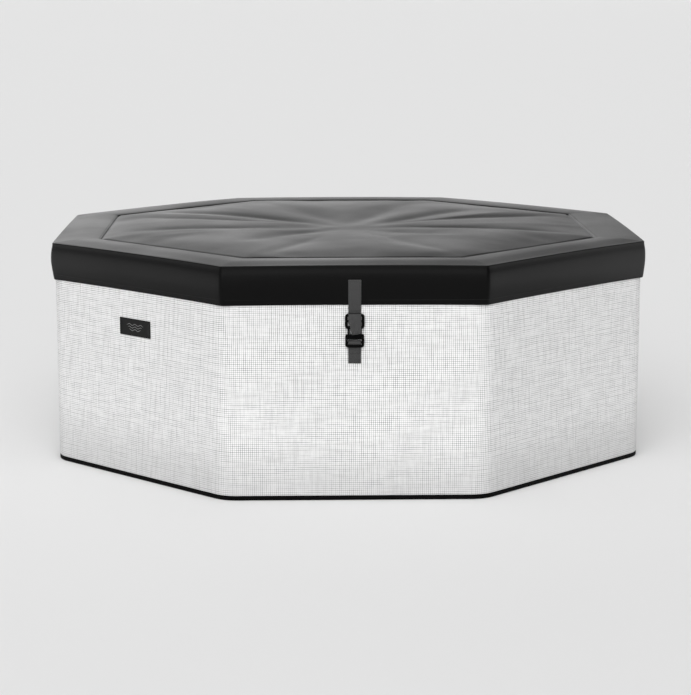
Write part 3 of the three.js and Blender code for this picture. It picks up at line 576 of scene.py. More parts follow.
def foam():
    """Closed-cell foam: a skin of fine round cells."""
    s = Shader("foam", Roughness=0.9)
    cells = s.cells(s.place(), 700)
    cloud = s.noise(s.place(), 12, 3.0)
    s.colour(cloud, grey(0.62), grey(0.74))
    s.bump(cells, 0.3 * MM, 0.5)
    return s.material


def foil():
    """Aluminised insulating sheet over a square scrim, crinkled."""
    s = Shader("foil", Metallic=0.85, Roughness=0.36)
    x, y = s.axis(s.place(), 0), s.axis(s.place(), 1)
    scrim = [s.spread(s.math("PINGPONG", a, 6 * MM), 0, 0.7 * MM, 1, 0) for a in (x, y)]
    threads = s.math("MAXIMUM", *scrim)
    crinkle = s.noise(s.place(), 70, 4.0, 0.6)
    s.colour(crinkle, grey(0.50), grey(0.66))
    s.rough(crinkle, 0.26, 0.46)
    s.bump(threads, 0.25 * MM, 0.5)
    s.bump(crinkle, 1.2 * MM, 0.4)
    return s.material


def filter_paper():
    """Pleated polyester filter felt."""
    s = Shader("filter_paper", Roughness=0.95)
    felt = s.noise(s.place(), 1500, 4.0, 0.7)
    s.colour(felt, (0.66, 0.72, 0.78), (0.82, 0.86, 0.9))
    s.bump(felt, 0.2 * MM, 0.6)
    return s.material


def hose_vinyl():
    """Grey PVC hose, dusty in patches."""
    s = Shader("hose_vinyl", Roughness=0.5)
    dust = s.noise(s.place(), 90, 4.0)
    s.colour(dust, (0.19, 0.21, 0.225), (0.27, 0.285, 0.3))
    s.rough(dust, 0.42, 0.62)
    s.bump(s.noise(s.place(), 900, 2.0), 0.1 * MM, 0.4)
    return s.material


def panel_lens():
    """Smoked glossy acrylic over the display."""
    coat = {"Coat_Weight": 0.6, "Coat_Roughness": 0.04}
    s = Shader("panel_lens", Roughness=0.06, Base_Color=(*grey(0.006), 1), **coat)
    smudges = s.noise(s.place(), 45, 5.0, 0.65)
    s.set("Roughness", s.spread(smudges, 0.45, 0.8, 0.05, 0.2))
    return s.material


def label_cloth():
    """Black woven label."""
    s = Shader("label_cloth", Roughness=0.7, IOR=1.3)
    weft = s.math("PINGPONG", s.axis(s.place(), 2), 0.35 * MM)
    rib = s.spread(weft, 0, 0.35 * MM)
    fuzz = s.noise(s.place(), 800, 3.0)
    s.colour(fuzz, grey(0.003), grey(0.009))
    s.bump(rib, 0.15 * MM, 0.6)
    return s.material


def label_thread():
    """Grey satin thread of the label's motif."""
    s = Shader("label_thread", Roughness=0.5)
    strands = s.noise(s.place((400, 400, 3000)), 1.0, 2.0)
    s.colour(strands, grey(0.09), grey(0.19))
    s.bump(strands, 0.1 * MM, 0.6)
    return s.material


def studio_floor():
    """A plain pale studio floor."""
    s = Shader("studio_floor", Roughness=0.9, Specular_IOR_Level=0.1, Base_Color=(*grey(0.80), 1))
    return s.material


WOVEN = woven_jacket()
MAT = black_mat()
VINYL = lid_vinyl()
WEBBING = webbing()
THREAD = thread()
LABEL_CLOTH = label_cloth()
LABEL_THREAD = label_thread()
BUCKLE_PLASTIC = moulded("buckle_plastic", grey(0.0012), 0.4, 0.02, IOR=1.13)
LINER_PVC = pvc("liner_pvc", (0.52, 0.56, 0.59))
WALL_PVC = pvc("wall_pvc", (0.26, 0.28, 0.30), 0.45)
HOUSING = moulded("housing_plastic", (0.045, 0.048, 0.053), 0.5, 0.08)
FITTING = moulded("fitting_plastic", (0.24, 0.26, 0.28), 0.42, 0.04)
MOTOR_PAINT = moulded("motor_paint", (0.022, 0.06, 0.115), 0.42, 0.03)
STEEL = metal("brushed_steel", (0.55, 0.56, 0.58))
FOAM = foam()
FOIL = foil()
PAPER = filter_paper()
HOSE = hose_vinyl()
LENS = panel_lens()

# ---- The tub's outside ----


def jacket():
    """The woven sleeve round the tub, drawn tight over the flat walls, with hemmed edges."""
    columns = Octagon(24, 10)
    section = near(FACE, BASE_TOP, (-2.6, 0.3), (-1.0, 0.3), (0.0, 1.5))
    section += [(FACE, z) for z in np.linspace(BASE_TOP + 4 * MM, JACKET_TOP - 4 * MM, 22)]
    section += near(FACE, JACKET_TOP, (-1.2, 0.0), (-2.6, 0.0))
    section += near(FACE, BASE_TOP, (-2.6, 0.3))
    around = columns.lengths(FACE, WALL_CORNER)
    obj = skin("jacket", columns, [(face, WALL_CORNER, z) for face, z in section], around)
    through = (FACE - 20 * MM, FACE + 20 * MM)
    low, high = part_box("unit_casing")
    lap = 12 * MM  # the casing's frame laps this far over the cloth
    carve(
        obj,
        cutting_box((low.x + lap, high.x - lap), through, (low.z + lap, high.z - lap), 6 * MM),
        cutting_rod("air_valve_body", 24 * MM, through),
        cutting_rod("drain_fitting", 18 * MM, through),
    )
    place(obj, WOVEN, "tub", "jacket", "outer_jacket")


def base_mat():
    """The foot of the tub, whose rounded edge shows as a thin black band."""
    columns = Octagon(8, 10)
    edge = 3 * MM
    section = [
        (FACE - 30 * MM, 0.0),
        *arc((FACE - edge, edge), edge, -90, 0, 4),
        *arc((FACE - edge, BASE_TOP - edge), edge, 0, 90, 4),
        (FACE - 30 * MM, BASE_TOP),
    ]
    obj = skin(
        "base_mat", columns, [(face, WALL_CORNER, z) for face, z in section],
        columns.lengths(FACE, WALL_CORNER), cap_start=True, cap_end=True,
    )
    place(obj, MAT, "tub", "base", "base_pad")


# ---- The lid ----


def octagon_reach(x, y):
    """How far out a point is, as the distance from the middle to the octagon's face through it."""
    return np.max([x * math.cos(k * SIDE_ANGLE) + y * math.sin(k * SIDE_ANGLE) for k in range(SIDES)], 0)


def ramp(value, low, high):
    """Rises smoothly from 0 to 1 between low and high."""
    t = np.clip((value - low) / (high - low), 0, 1)
    return t * t * (3 - 2 * t)


def lid_puffs(x, y):
    """The height that the air cushion gives the lid inside its seam, before the cloth settles."""
    reach = np.clip(octagon_reach(x, y) / LID_SEAM, 0, 1)
    x = x - LID_FOCUS[0] * (1 - reach)
    y = y - LID_FOCUS[1] * (1 - reach)
    radius, angle = np.hypot(x, y), np.arctan2(y, x)
    height = LID_PUFF * np.sin(math.pi * reach**1.6)
    for degrees, start, end, lift, width in LID_FOLDS:
        line = math.radians(degrees) + 0.05 * np.sin(4 * reach + degrees)
        off = (angle - line + math.pi) % (2 * math.pi) - math.pi
        distance = np.where(np.abs(off) < math.pi / 2, radius * np.abs(np.sin(off)), radius)
        spread = width * MM * (0.45 + 0.75 * reach)
        section = np.exp(-1.4 * (np.sqrt((distance / spread) ** 2 + FOLD_ROUND**2) - FOLD_ROUND))
        fade = ramp(reach, start, start + 0.28) * (1 - ramp(reach, end - 0.25, end))
        height = height + FOLD_DEPTH * lift * MM * section * fade
    return height


class PanelCloth:
    """The lid's top panel as cloth: pinned along its seam and at its middle, and blown up from below."""

    PITCH = 12.5 * MM
    FRAMES = 14
    MOST_MOVE = 4 * MM
    SMOOTHINGS = 16

    def __init__(self):
        half = int(math.ceil(LID_SEAM / self.PITCH)) + 1
        self.first = -half * self.PITCH
        self.count = 2 * half + 1
        line = self.first + self.PITCH * np.arange(self.count)
        self.x, self.y = np.meshgrid(line, line)
        self.start = lid_puffs(self.x, self.y)
        self.z = self.simulated()

    def simulated(self):
        """The panel's heights after the cloth has settled, evened out and kept close to the start."""
        count = self.count
        points = np.stack([self.x.ravel(), self.y.ravel(), self.start.ravel()], 1)
        obj = mesh_object("lid_panel_cloth", points, grid_faces(0, count, count))
        by_seam = octagon_reach(self.x, self.y) > LID_SEAM - 6 * MM
        by_focus = np.hypot(self.x - LID_FOCUS[0], self.y - LID_FOCUS[1]) < 14 * MM
        group = obj.vertex_groups.new(name="pinned")
        group.add([int(i) for i in np.flatnonzero(by_seam | by_focus)], 1.0, "REPLACE")
        cloth = add_modifier(obj, "CLOTH")
        configure(
            cloth.settings,
            vertex_group_mass="pinned",
            quality=6,
            mass=0.12,
            tension_stiffness=40,
            compression_stiffness=40,
            shear_stiffness=15,
            bending_stiffness=0.6,
            air_damping=3,
            shrink_min=-0.003,
            use_pressure=True,
            uniform_pressure_force=0.3,
        )
        cloth.settings.effector_weights.gravity = 0.0
        cloth.point_cache.frame_end = self.FRAMES
        scene = bpy.context.scene
        for number in range(1, self.FRAMES + 1):
            scene.frame_set(number)
        settled = obj.evaluated_get(bpy.context.evaluated_depsgraph_get()).data
        z = np.array([vertex.co.z for vertex in settled.vertices]).reshape(count, count)
        scene.frame_set(1)
        bpy.data.objects.remove(obj)
        moved = np.clip(z - self.start, -self.MOST_MOVE, self.MOST_MOVE)
        for _ in range(self.SMOOTHINGS):
            padded = np.pad(moved, 1, mode="edge")
            beside = padded[1:-1, :-2] + padded[1:-1, 2:] + padded[:-2, 1:-1] + padded[2:, 1:-1]
            moved = 0.5 * moved + 0.125 * beside
        return self.start + moved

    def height(self, x, y):
        """The panel's height at points, between the grid's."""
        spots = np.clip((np.stack([x, y]) - self.first) / self.PITCH, 0, self.count - 1.001)
        i, j = spots.astype(int)
        u, v = spots % 1
        low = self.z[j, i] * (1 - u) + self.z[j, i + 1] * u
        high = self.z[j + 1, i] * (1 - u) + self.z[j + 1, i + 1] * u
        return low * (1 - v) + high * v


def lid_section():
    """The lid's outline from its hem up and over to the seam, as (face, height)."""
    skirt = near(FACE, HEM, (1.6, 1), (2.4, 0), (3.4, 2.5), (6.0, 20), (9.0, 45), (9.8, 65))
    skirt += near(FACE, HEM, (8.6, 88), (6.0, 102))
    skirt += near(FACE, LID_TOP, (4.8, -8))
    crease = near(LID_EDGE, LID_TOP, (0.2, -5.6), (0.0, -4.6), (-1.0, -4.0))
    border = near(LID_EDGE, LID_TOP, (-3, -3.6), (-20, -2.2), (-40, -0.3), (-60, 1.4), (-78, 2.3))
    border += near(LID_EDGE, LID_TOP, (-100, 2.2), (-125, 1.2))
    border += near(LID_SEAM, LID_TOP, (4, -1.6), (1.2, -4.4), (0, -5.8))
    return [*smooth_line(skirt, 2), *crease, *smooth_line(border, 3)]


def lid_droop(columns):
    """The lid sags a little towards its corners, most at the corners themselves."""
    return -2.6 * MM * np.abs(columns.flat) ** 2.2


def lid():
    """The padded cover: its skirt, its border and the puffed middle, in one skin."""
    columns = Octagon(44, 6)
    droop = lid_droop(columns)
    rings = []
    for face, z in lid_section():
        drop = max(0.0, (LID_TOP - z) / (LID_TOP - HEM))
        ring = columns.ring(face, LID_CORNER + 4 * MM * min(drop, 1))
        sway = 0.9 * MM * drop * np.sin(5.2 * ring[:, 0] + 3.1 * ring[:, 1] + 40 * z)
        ring = ring + columns.outward() * sway[:, None]
        fade = np.clip((face - LID_SEAM) / (LID_EDGE - LID_SEAM), 0, 1) ** 0.5
        ripple = 0.7 * MM * np.sin(9 * ring[:, 0]) * np.cos(8 * ring[:, 1]) * (face < LID_EDGE - 6 * MM)
        rings.append(at_height(ring, z + (droop + ripple) * fade))
    inner_steps = 90
    panel = PanelCloth()
    for i in range(1, inner_steps):
        reach = (LID_SEAM - 1.2 * MM) * (1 - i / inner_steps) ** 0.92
        ring = columns.ring(reach, LID_CORNER * reach / LID_SEAM)
        groove = 3.2 * MM * math.exp(-((LID_SEAM - reach) / (3 * MM)))
        z = LID_TOP - 2.8 * MM - groove + panel.height(ring[:, 0], ring[:, 1])
        rings.append(at_height(ring, z))
    obj = loft("lid", rings, cap_end=True)
    add_modifier(obj, "SOLIDIFY", thickness=1.6 * MM, offset=-1)
    place(obj, VINYL, "lid", "lid_vinyl", "lid_cover")


STITCH_PITCH = 6 * MM
STITCH_LENGTH = 4 * MM
STITCH_WIDTH = 0.9 * MM
STITCH_HEIGHT = 0.5 * MM


def stitches(name, rows, body, slot):
    """Short sewing stitches. Each row is a closed path of (x, y, z) and the way that it faces."""
    section = [(-0.5, 0.0), (-0.3, 1.0), (0.3, 1.0), (0.5, 0.0)]
    points, faces = [], []
    for path, facing in rows:
        path, facing = closed(path), np.asarray(facing)
        reach = distances(path)
        count = int(reach[-1] / STITCH_PITCH)
        for start in reach[-1] * np.arange(count) / count:
            first, last = (
                np.array([np.interp(spot, reach, path[:, k]) for k in range(3)])
                for spot in (start, start + STITCH_LENGTH)
            )
            along = (last - first) / np.linalg.norm(last - first)
            up = facing[np.searchsorted(reach, start) % len(facing)]
            side = np.cross(up, along)
            faces += grid_faces(len(points), 4, 4)
            for shift, grow in ((0.0, 0.35), (0.25, 1.0), (0.75, 1.0), (1.0, 0.35)):
                spot = first + (last - first) * shift
                for across, rise in section:
                    offset = side * across * STITCH_WIDTH + up * rise * STITCH_HEIGHT
                    points.append(spot + offset * grow)
    place(mesh_object(name, points, faces), THREAD, body, slot)


def lid_stitching():
    """The rows of stitches just outside the seam on the lid's top, and along its hem."""
    columns = Octagon(30, 3)
    from_seam = 7 * MM
    ring = columns.ring(LID_SEAM + from_seam, LID_CORNER)
    fade = (from_seam / (LID_EDGE - LID_SEAM)) ** 0.5
    border = sorted((face, z) for face, z in lid_section() if z > LID_TOP - 8 * MM)
    z = np.interp(LID_SEAM + from_seam, *zip(*border)) + lid_droop(columns) * fade
    seam = (at_height(ring, z), [(0.0, 0.0, 1.0)])
    above_hem = 14 * MM
    ring = columns.ring(FACE + 5.3 * MM, LID_CORNER + 4 * MM)
    hem = (at_height(ring, HEM + above_hem), at_height(columns.outward(), 0.0))
    stitches("lid_stitching", [seam, hem], "lid", "lid_vinyl")


# ---- The straps ----


def ribbon(name, line, quarter, body, node, twist=None):
    """A strap along a line of (out from the face, height), lying flat against the face.

    twist gives the angle by which the strap turns about its right edge, from the share of its length."""
    line = np.asarray(line, float)
    half_width, half_thick = WEB_WIDTH / 2, WEB_THICK / 2
    edge = arc((half_width - half_thick, 0), half_thick, -90, 90, 4)
    section = edge + [(-x, -y) for x, y in edge]
    length = distances(line)
    turn = Matrix.Rotation(quarter * math.pi / 2, 3, "Z")
    rings = []
    for spot, along, share in zip(line, tangents(line), length / length[-1]):
        angle = twist(share) if twist else 0.0
        across = np.array([along[1], -along[0]])
        ring = []
        for x, y in section:
            from_edge = half_width - x
            out, z = spot + across * y
            lift = from_edge * math.sin(angle)
            ring.append(turn @ Vector((half_width - from_edge * math.cos(angle), -FACE - out - lift, z)))
        rings.append(np.array(ring))
    around = closed(np.array([x for x, _ in section])) + WEB_WIDTH
    obj = loft(name, rings, around, cap_start=True, cap_end=True)
    place(obj, WEBBING, body, "webbing", node)


WEB_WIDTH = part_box("front_strap")[1].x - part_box("front_strap")[0].x
WEB_THICK = 1.9 * MM
STRAP_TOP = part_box("front_strap")[1].z
STRAP_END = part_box("front_strap")[0].z
ANCHOR_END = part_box("front_anchor_strap")[0].z
PLUG_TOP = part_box("front_buckle_plug")[1].z
MOST_TWIST = math.radians(42)  # of the lid strap's hanging end, which turns outward
TAIL_STARTS = 0.72  # as a share of the lid strap's length


def lid_strap(side, quarter):
    """Sewn to the skirt, round the plug's bar, and folded over to hang in front of it."""
    bar = PLUG_TOP - 25 * MM
    fold = PLUG_TOP - 2.5 * MM
    back = near(0, STRAP_TOP, (10.3, 0), (11.0, -20), (9.4, -50), (4.6, -75))
    back += near(0, PLUG_TOP, (1.9, 3), (1.8, -12))
    line = [
        *smooth_line(back, 4),
        *arc((6.1 * MM, bar), 4.3 * MM, 180, 360, 10),
        (10.4 * MM, (bar + fold) / 2),
        *arc((11.75 * MM, fold), 1.35 * MM, 180, 0, 8),
        (13.3 * MM, fold - 20 * MM),
        (13.0 * MM, (fold + STRAP_END) / 2),
        *near(0, STRAP_END, (13.4, 12), (13.0, 0)),
    ]
    body = f"{side}_lid_strap"
    ribbon(
        body, line, quarter, body, f"{side}_strap",
        lambda share: MOST_TWIST * max(0.0, share - TAIL_STARTS) / (1 - TAIL_STARTS),
    )


def strap_stitching(side, quarter):
    """The square of stitches that sews the strap's end to the skirt."""
    half, tall, lean = 0.36 * WEB_WIDTH, 24 * MM, 0.02
    top = STRAP_TOP - 5 * MM
    corners = [(half, top), (-half, top), (-half, top - tall), (half, top - tall)]
    path = np.array([(x, -FACE - 11.45 * MM - (top - z) * lean, z) for x, z in corners])
    turn = np.array(Matrix.Rotation(quarter * math.pi / 2, 3, "Z"))
    facing = [turn @ (0.0, -1.0, 0.0)]
    stitches(f"{side}_strap_stitching", [(path @ turn.T, facing)], f"{side}_lid_strap", "webbing")


def tub_strap(side, quarter):
    """Sewn to the jacket, round the socket's bar, and turned back behind it."""
    line = [
        *near(0, ANCHOR_END, (1.5, 0), (1.7, 25), (1.5, 53), (2.2, 62)),
        *arc((6.2 * MM, ANCHOR_END + 64.5 * MM), 3.4 * MM, 150, 0, 8),
        *arc((6.2 * MM, ANCHOR_END + 60.5 * MM), 3.4 * MM, 0, -110, 8),
        *near(0, ANCHOR_END, (3.9, 52), (3.9, 31)),
    ]
    body = f"{side}_tub_strap"
    ribbon(body, line, quarter, body, f"{side}_anchor_strap")


# ---- The basin ----


def basin_liner():
    """The apron over the rim, with its welded tape, and the basin down to its floor, in one skin."""
    columns = Octagon(26, 8)
    edge = 11 * MM  # radius of the rim's edges
    tape = 1.1 * MM  # the welded tape stands this far off the skin
    foot = 16 * MM  # radius where the wall meets the floor
    floor = FLOOR + 2 * MM
    wall = BASIN_FACE + tape
    outer_corner, inner_corner = WALL_CORNER - edge, BASIN_CORNER + edge
    section = [(FACE, WALL_CORNER, JACKET_TOP + up * MM) for up in (0.5, 14)]
    section += [(face, outer_corner, z) for face, z in arc((FACE - edge, RIM - edge), edge, 0, 90, 6)]
    rim_width = FACE - BASIN_FACE - 2 * edge
    for share, lift in ((0.03, 0), (0.04, -tape), (0.5, -tape), (0.96, -tape), (0.97, 0)):
        corner = outer_corner + (inner_corner - outer_corner) * share
        section.append((FACE - edge - rim_width * share, corner, RIM + lift))
    for face, z in arc((BASIN_FACE + edge, RIM - edge), edge, 90, 180, 6):
        section.append((face, BASIN_CORNER + face - BASIN_FACE, z))
    down = [(BASIN_FACE, RIM - 30 * MM)]
    down += [(wall, z) for z in np.linspace(RIM - 31.5 * MM, floor + foot, 13)]
    down += arc((wall - foot, floor + foot), foot, 0, -90, 5)[1:]
    section += [(face, BASIN_CORNER, z) for face, z in down]
    section.append((BASIN_FACE * 0.6, BASIN_CORNER * 0.6, floor))
    lengths = columns.lengths(BASIN_FACE, BASIN_CORNER)
    obj = skin("basin_liner", columns, section, lengths, cap_end=True)
    add_modifier(obj, "SOLIDIFY", thickness=1.4 * MM, offset=-1)
    through = (BASIN_FACE - 20 * MM, BASIN_FACE + 20 * MM)
    holes = (("filter_cap", 62.6), ("return_nozzle", 24.6), ("air_hose", 12), ("drain_fitting", 16.6))
    low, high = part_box("control_panel")
    gap = 0.6 * MM
    carve(
        obj,
        *[cutting_rod(node, radius * MM, through) for node, radius in holes],
        cutting_box(
            (low.x - gap, high.x + gap), (low.y - gap, high.y + gap), (RIM - 20 * MM, RIM + 20 * MM)
        ),
    )
    place(obj, LINER_PVC, "tub", "liner", "tub_liner")


def floor_cushion():
    """The bathers' air cushion: rings of air between welded seams, with puckers along each seam."""
    columns = Octagon(40, 6)
    ring_count, steps = 7, 14
    shelf = 62 * MM  # the flat edge under the bubble ring
    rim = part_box("floor_cushion")[1].x
    puffed = rim - shelf
    section = near(rim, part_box("floor_cushion")[0].z, (-14, 0), (-3, 4), (0, 16))
    section += near(rim, CUSHION_TOP, (0, -14), (-3, -5), (-12, -0.6))
    section += near(puffed, CUSHION_TOP, (12, -0.6))
    rings = [at_height(columns.ring(face, BASIN_CORNER * face / rim), z) for face, z in section]
    for i in range(ring_count * steps):
        share = i / (ring_count * steps)
        face = puffed * (1 - share) + 8 * MM * share
        dome = 1 - abs(2 * (i % steps) / steps - 1) ** 2.4
        ring = columns.ring(face, BASIN_CORNER * face / rim)
        turn = np.arctan2(ring[:, 1], ring[:, 0])
        pucker_count = 8 * max(3, round(face / (26 * MM)))
        pucker = 0.5 + 0.5 * np.cos(pucker_count * turn + 1.7 * (i // steps))
        depth = 1.5 * MM * math.exp(-4 * dome**2) * (1 - dome * 0.6)
        rings.append(at_height(ring, CUSHION_TOP - 11 * MM + 10.4 * MM * dome - pucker * depth))
    obj = loft("floor_cushion_puffed", rings, cap_start=True, cap_end=True)
    middle, half = centre("drain_fitting").x, 22 * MM
    notch = (rim - 36 * MM, rim + 20 * MM)
    carve(obj, cutting_box((middle - half, middle + half), notch, (0, RIM), 3 * MM))
    place(obj, LINER_PVC, "tub", "liner", "floor_cushion")


def bubble_ring():
    """The air duct round the foot of the basin, with a welded flange and two rows of jets."""
    low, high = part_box("bubble_ring")
    width, height = 56 * MM, high.z - low.z
    middle = high.x - width / 2
    section = near(high.x, low.z, (-0.4, 0), (-0.4, 1.5))
    for angle in np.linspace(0, math.pi, 21):
        rise = 1.6 * MM + (height - 1.8 * MM) * math.sin(angle) ** 0.8
        section.append((middle + (width / 2 - 5 * MM) * math.cos(angle), low.z + rise))
    section += near(high.x - width, low.z, (0, 1.5), (0, 0))
    rounded = [(face, 14 * MM, z) for face, z in section]
    obj = skin("bubble_ring_welded", Octagon(24, 3), rounded, close=True)
    jets("bubble_jets", middle, high.z)
    place(obj, FITTING, "tub", "fitting", "bubble_ring")


def jets(name, face, top):
    """Small eyelets where the air comes out, in two rows round the duct."""
    points, faces = [], []
    sides, per_side = 14, 12
    profile = ((3.6, -0.6), (3.4, 0.5), (2.6, 0.9), (1.9, 0.4), (1.7, -1.6), (0.01, -1.8))
    reach = face * math.tan(SIDE_ANGLE / 2)
    for side in range(SIDES):
        turn = Matrix.Rotation(side * SIDE_ANGLE, 3, "Z")
        for i in range(per_side):
            along = reach * (2 * (i + 0.5) / per_side - 1) * 0.94
            for row, tilt in ((-9, -0.42), (9, 0.42)):
                eye = Vector((face + row * MM, along, top - 1.9 * MM))
                lean = Matrix.Rotation(tilt, 3, "Y")
                faces += grid_faces(len(points), len(profile), sides, close=True)
                for radius, lift in profile:
                    for x, y in radius * directions(full_turn(sides)):
                        points.append(turn @ (eye + lean @ Vector((x, y, lift)) * MM))
    place(mesh_object(name, points, faces), HOUSING, "tub", "fitting")


# ---- Under the lid ----


def lid_lining():
    """The foil-faced sheet under the lid: a flange over the rim, and a pan round the air cushion."""
    columns = Octagon(30, 6)
    low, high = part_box("lid_base_sheet")
    flange, pan = high.x, 741 * MM
    underside = high.z - 1.5 * MM
    bend, foot = 8 * MM, 12 * MM  # radii at the top and the foot of the pan's wall
    section = [
        (flange, 20 * MM, underside),
        (pan + 70 * MM, 22 * MM, underside + 0.3 * MM),
        (pan + bend, 28 * MM, underside),
    ]
    wall = arc((pan + bend, underside - bend), bend, 90, 180, 5)[1:]
    wall += [(pan, low.z + 14 * MM), *arc((pan - foot, low.z + 13.5 * MM), foot, 0, -90, 5)[1:]]
    section += [(face, 30 * MM, z) for face, z in wall]
    steps = 40
    for i in range(1, steps):
        face = (pan - foot) * (1 - i / steps) + 5 * MM
        corner = 30 * MM * face / pan
        quilt = np.abs(np.prod(np.sin(math.pi * columns.ring(face, corner) / 0.124), axis=1)) ** 0.6
        section.append((face, corner, low.z + 1.6 * MM + 2.6 * MM * (1 - quilt)))
    obj = skin("lid_lining", columns, section, cap_end=True)
    add_modifier(obj, "SOLIDIFY", thickness=1.2 * MM, offset=1)
    place(obj, FOIL, "lid", "foil", "lid_base_sheet")


def lid_air_cushion():
    """The bladder inside the lid: an octagon of air with eight welded spokes."""
    columns = Octagon(36, 6)
    low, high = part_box("lid_bladder")
    face = high.x
    settled = 14 * MM  # the cover's valleys press it down by this much
    middle = (low.z + high.z - settled) / 2
    half = (high.z - settled - low.z) / 2
    inner = [face * 0.85 * k / 24 for k in range(1, 24)]
    outline = [(out, -1.0) for out in inner]
    for angle in np.radians(np.linspace(-90, 90, 81))[1:-1]:
        outline.append((face * (1 - 0.15 * (1 - math.cos(angle))), math.sin(angle)))
    outline += [(out, 1.0) for out in reversed(inner)]
    rings = []
    for out, level in outline:
        ring = columns.ring(out, 30 * MM * out / face)
        turn = np.arctan2(ring[:, 1], ring[:, 0])
        spoke = np.abs(np.sin(SIDES * turn / 2)) ** 0.35
        fade = min(1, out / (0.25 * face)) * min(1, (face - out) / (0.12 * face) + 0.2)
        rings.append(at_height(ring, middle + half * level * (1 - 0.10 * (1 - spoke) * fade)))
    obj = loft("lid_air_cushion", rings, cap_start=True, cap_end=True)
    place(obj, WALL_PVC, "lid", "pvc", "lid_bladder")


def lid_border_boards():
    """Eight boards of closed-cell foam, mitred at the corners of the lid's border."""
    low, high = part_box("lid_border_foam")
    high.z -= 6 * MM  # the cover presses the boards' outer edges down
    gap = 0.8 * MM
    section = rounded_box((782 * MM, high.x), (low.z, high.z), 4 * MM, 2)
    count = len(section)
    points, faces = [], []
    for side in range(SIDES):
        turn = Matrix.Rotation(side * SIDE_ANGLE, 3, "Z")
        base = len(points)
        for end in (-1, 1):
            for face, z in section:
                along = end * (face * math.tan(SIDE_ANGLE / 2) - gap)
                points.append(turn @ Vector((face, along, z)))
        faces.append(range(base, base + count))
        faces.append(reversed(range(base + count, base + 2 * count)))
        for k in range(count):
            n = (k + 1) % count
            faces.append((base + k, base + count + k, base + count + n, base + n))
    obj = mesh_object("lid_border_boards", points, faces, smooth=False)
    place(obj, FOAM, "lid", "foam", "lid_border_foam")


# ---- The label ----


def on_label(x, z, lift):
    """A point on the label: x across it, z up from its middle, lift in millimetres off the jacket."""
    turn = Matrix.Rotation(-SIDE_ANGLE, 3, "Z")
    return turn @ Vector((x, -FACE - lift * MM, centre("label_patch").z + z))


def label_patch():
    """A woven label sewn to the left of the front, with rounded corners and a rolled edge."""
    half_width, half_height, corner = 70 * MM, 26.4 * MM, 3 * MM
    rings = []
    for inset, lift in ((0, 0.35), (0, 1.1), (0.35, 1.6), (1.0, 1.85), (2.2, 1.75), (2.8, 1.35), (20, 1.4)):
        x, z = half_width - inset * MM, half_height - inset * MM
        outline = rounded_box((-x, x), (-z, z), max(corner - inset * MM, 0.4 * MM))
        rings.append(np.array([on_label(*spot, lift) for spot in outline]))
    obj = loft("label_woven", rings, cap_start=True, cap_end=True)
    place(obj, LABEL_CLOTH, "tub", "label", "label_patch")


def label_waves():
    """Three plain wavy lines in satin thread, in the middle of the label."""
    points, faces = [], []
    steps = 72
    for row in range(3):
        faces += grid_faces(len(points), steps + 1, 4)
        for i in range(steps + 1):
            x = (i / steps - 0.5) * (78 - 12 * row) * MM
            wave = 2.2 * MM * math.cos(x / (4.1 * MM)) + (8 - 8 * row) * MM
            taper = min(1, 8 * min(i, steps - i) / steps + 0.15)
            for across, lift in ((1, 1.35), (0.6, 1.85), (-0.6, 1.85), (-1, 1.35)):
                points.append(on_label(x, wave + across * taper * 1.15 * MM, lift))
    place(mesh_object("label_waves", points, faces), LABEL_THREAD, "tub", "label")


# ---- What the equipment box holds ----


def heater():
    """The heater: a steel tube with flanged ends, unions and a thermostat on top."""
    low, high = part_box("heater_tube")
    y, z, radius = centre("heater_tube").y, 200 * MM, 24 * MM
    flange, union, band = radius + 6 * MM, 12 * MM, radius + 1 * MM
    half = [
        (0, union - 2 * MM), (0, union), (9.5, union), (9.5, flange), (18, flange), (18, radius),
        (70, radius), (71, band), (74, band), (75, radius),
    ]
    profile = [(low.x + along * MM, out) for along, out in half]
    profile += [(high.x - along * MM, out) for along, out in reversed(half)]
    place(
        turned("heater", softened(profile, 0.9 * MM), "x", (y, z)),
        STEEL, "tub", "steel", "heater_tube",
    )
    foot, shoulder = z + radius - 3 * MM, high.z - 6 * MM
    profile = [
        (foot, 0.01 * MM), (foot, 9 * MM), (shoulder, 9 * MM),
        (shoulder, 7 * MM), (high.z, 7 * MM), (high.z, 0.01 * MM),
    ]
    place(
        turned("thermostat", softened(profile, 0.7 * MM), "z", (72 * MM, y), 32),
        HOUSING, "tub", "housing",
    )


def water_pipes():
    """Hoses from filter to pump, pump to heater and heater to nozzle, and the ribbed air hose."""
    routes = {
        "suction_pipe": [
            (-120, 850, 205.5), (-120, 850, 193), (-150, 847, 174), (-183, 841, 150),
            (-194, 837, 122), (-187, 835, 103), (-176, 835, 100), (-166.4, 835, 100),
        ],
        "pressure_pipe": [
            (-142, 805, 168.4), (-142, 805, 180), (-124, 812, 196), (-92, 832, 200),
            (-58, 850, 200), (-40.4, 850, 200),
        ],
        "return_pipe": [
            (180.4, 850, 200), (187, 850, 200), (197, 848, 226), (187, 838, 256),
            (160, 832, 278), (130, 822, 280), (120, 804, 280), (120, 790.4, 280),
        ],
    }
    for node, route in routes.items():
        obj = tube(f"{node}_hose", np.array(route) * MM, 9 * MM, 0.11)
        place(obj, HOSE, "tub", "hose", node)
    low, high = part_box("air_hose")
    groove, pitch = 9.4 * MM, 4 * MM
    rib = ((0.1, groove), (0.4, 11 * MM), (0.7, 11 * MM), (0.95, groove))
    ribs = [(low.y, groove)]
    for i in range(int((high.y - low.y) / pitch)):
        ribs += [(low.y + (i + share) * pitch, radius) for share, radius in rib]
    ribs.append((high.y, groove))
    hose = turned("air_hose_ribbed", ribs, "y", centre("air_hose").xz, 32)
    place(hose, HOSE, "tub", "hose", "air_hose")


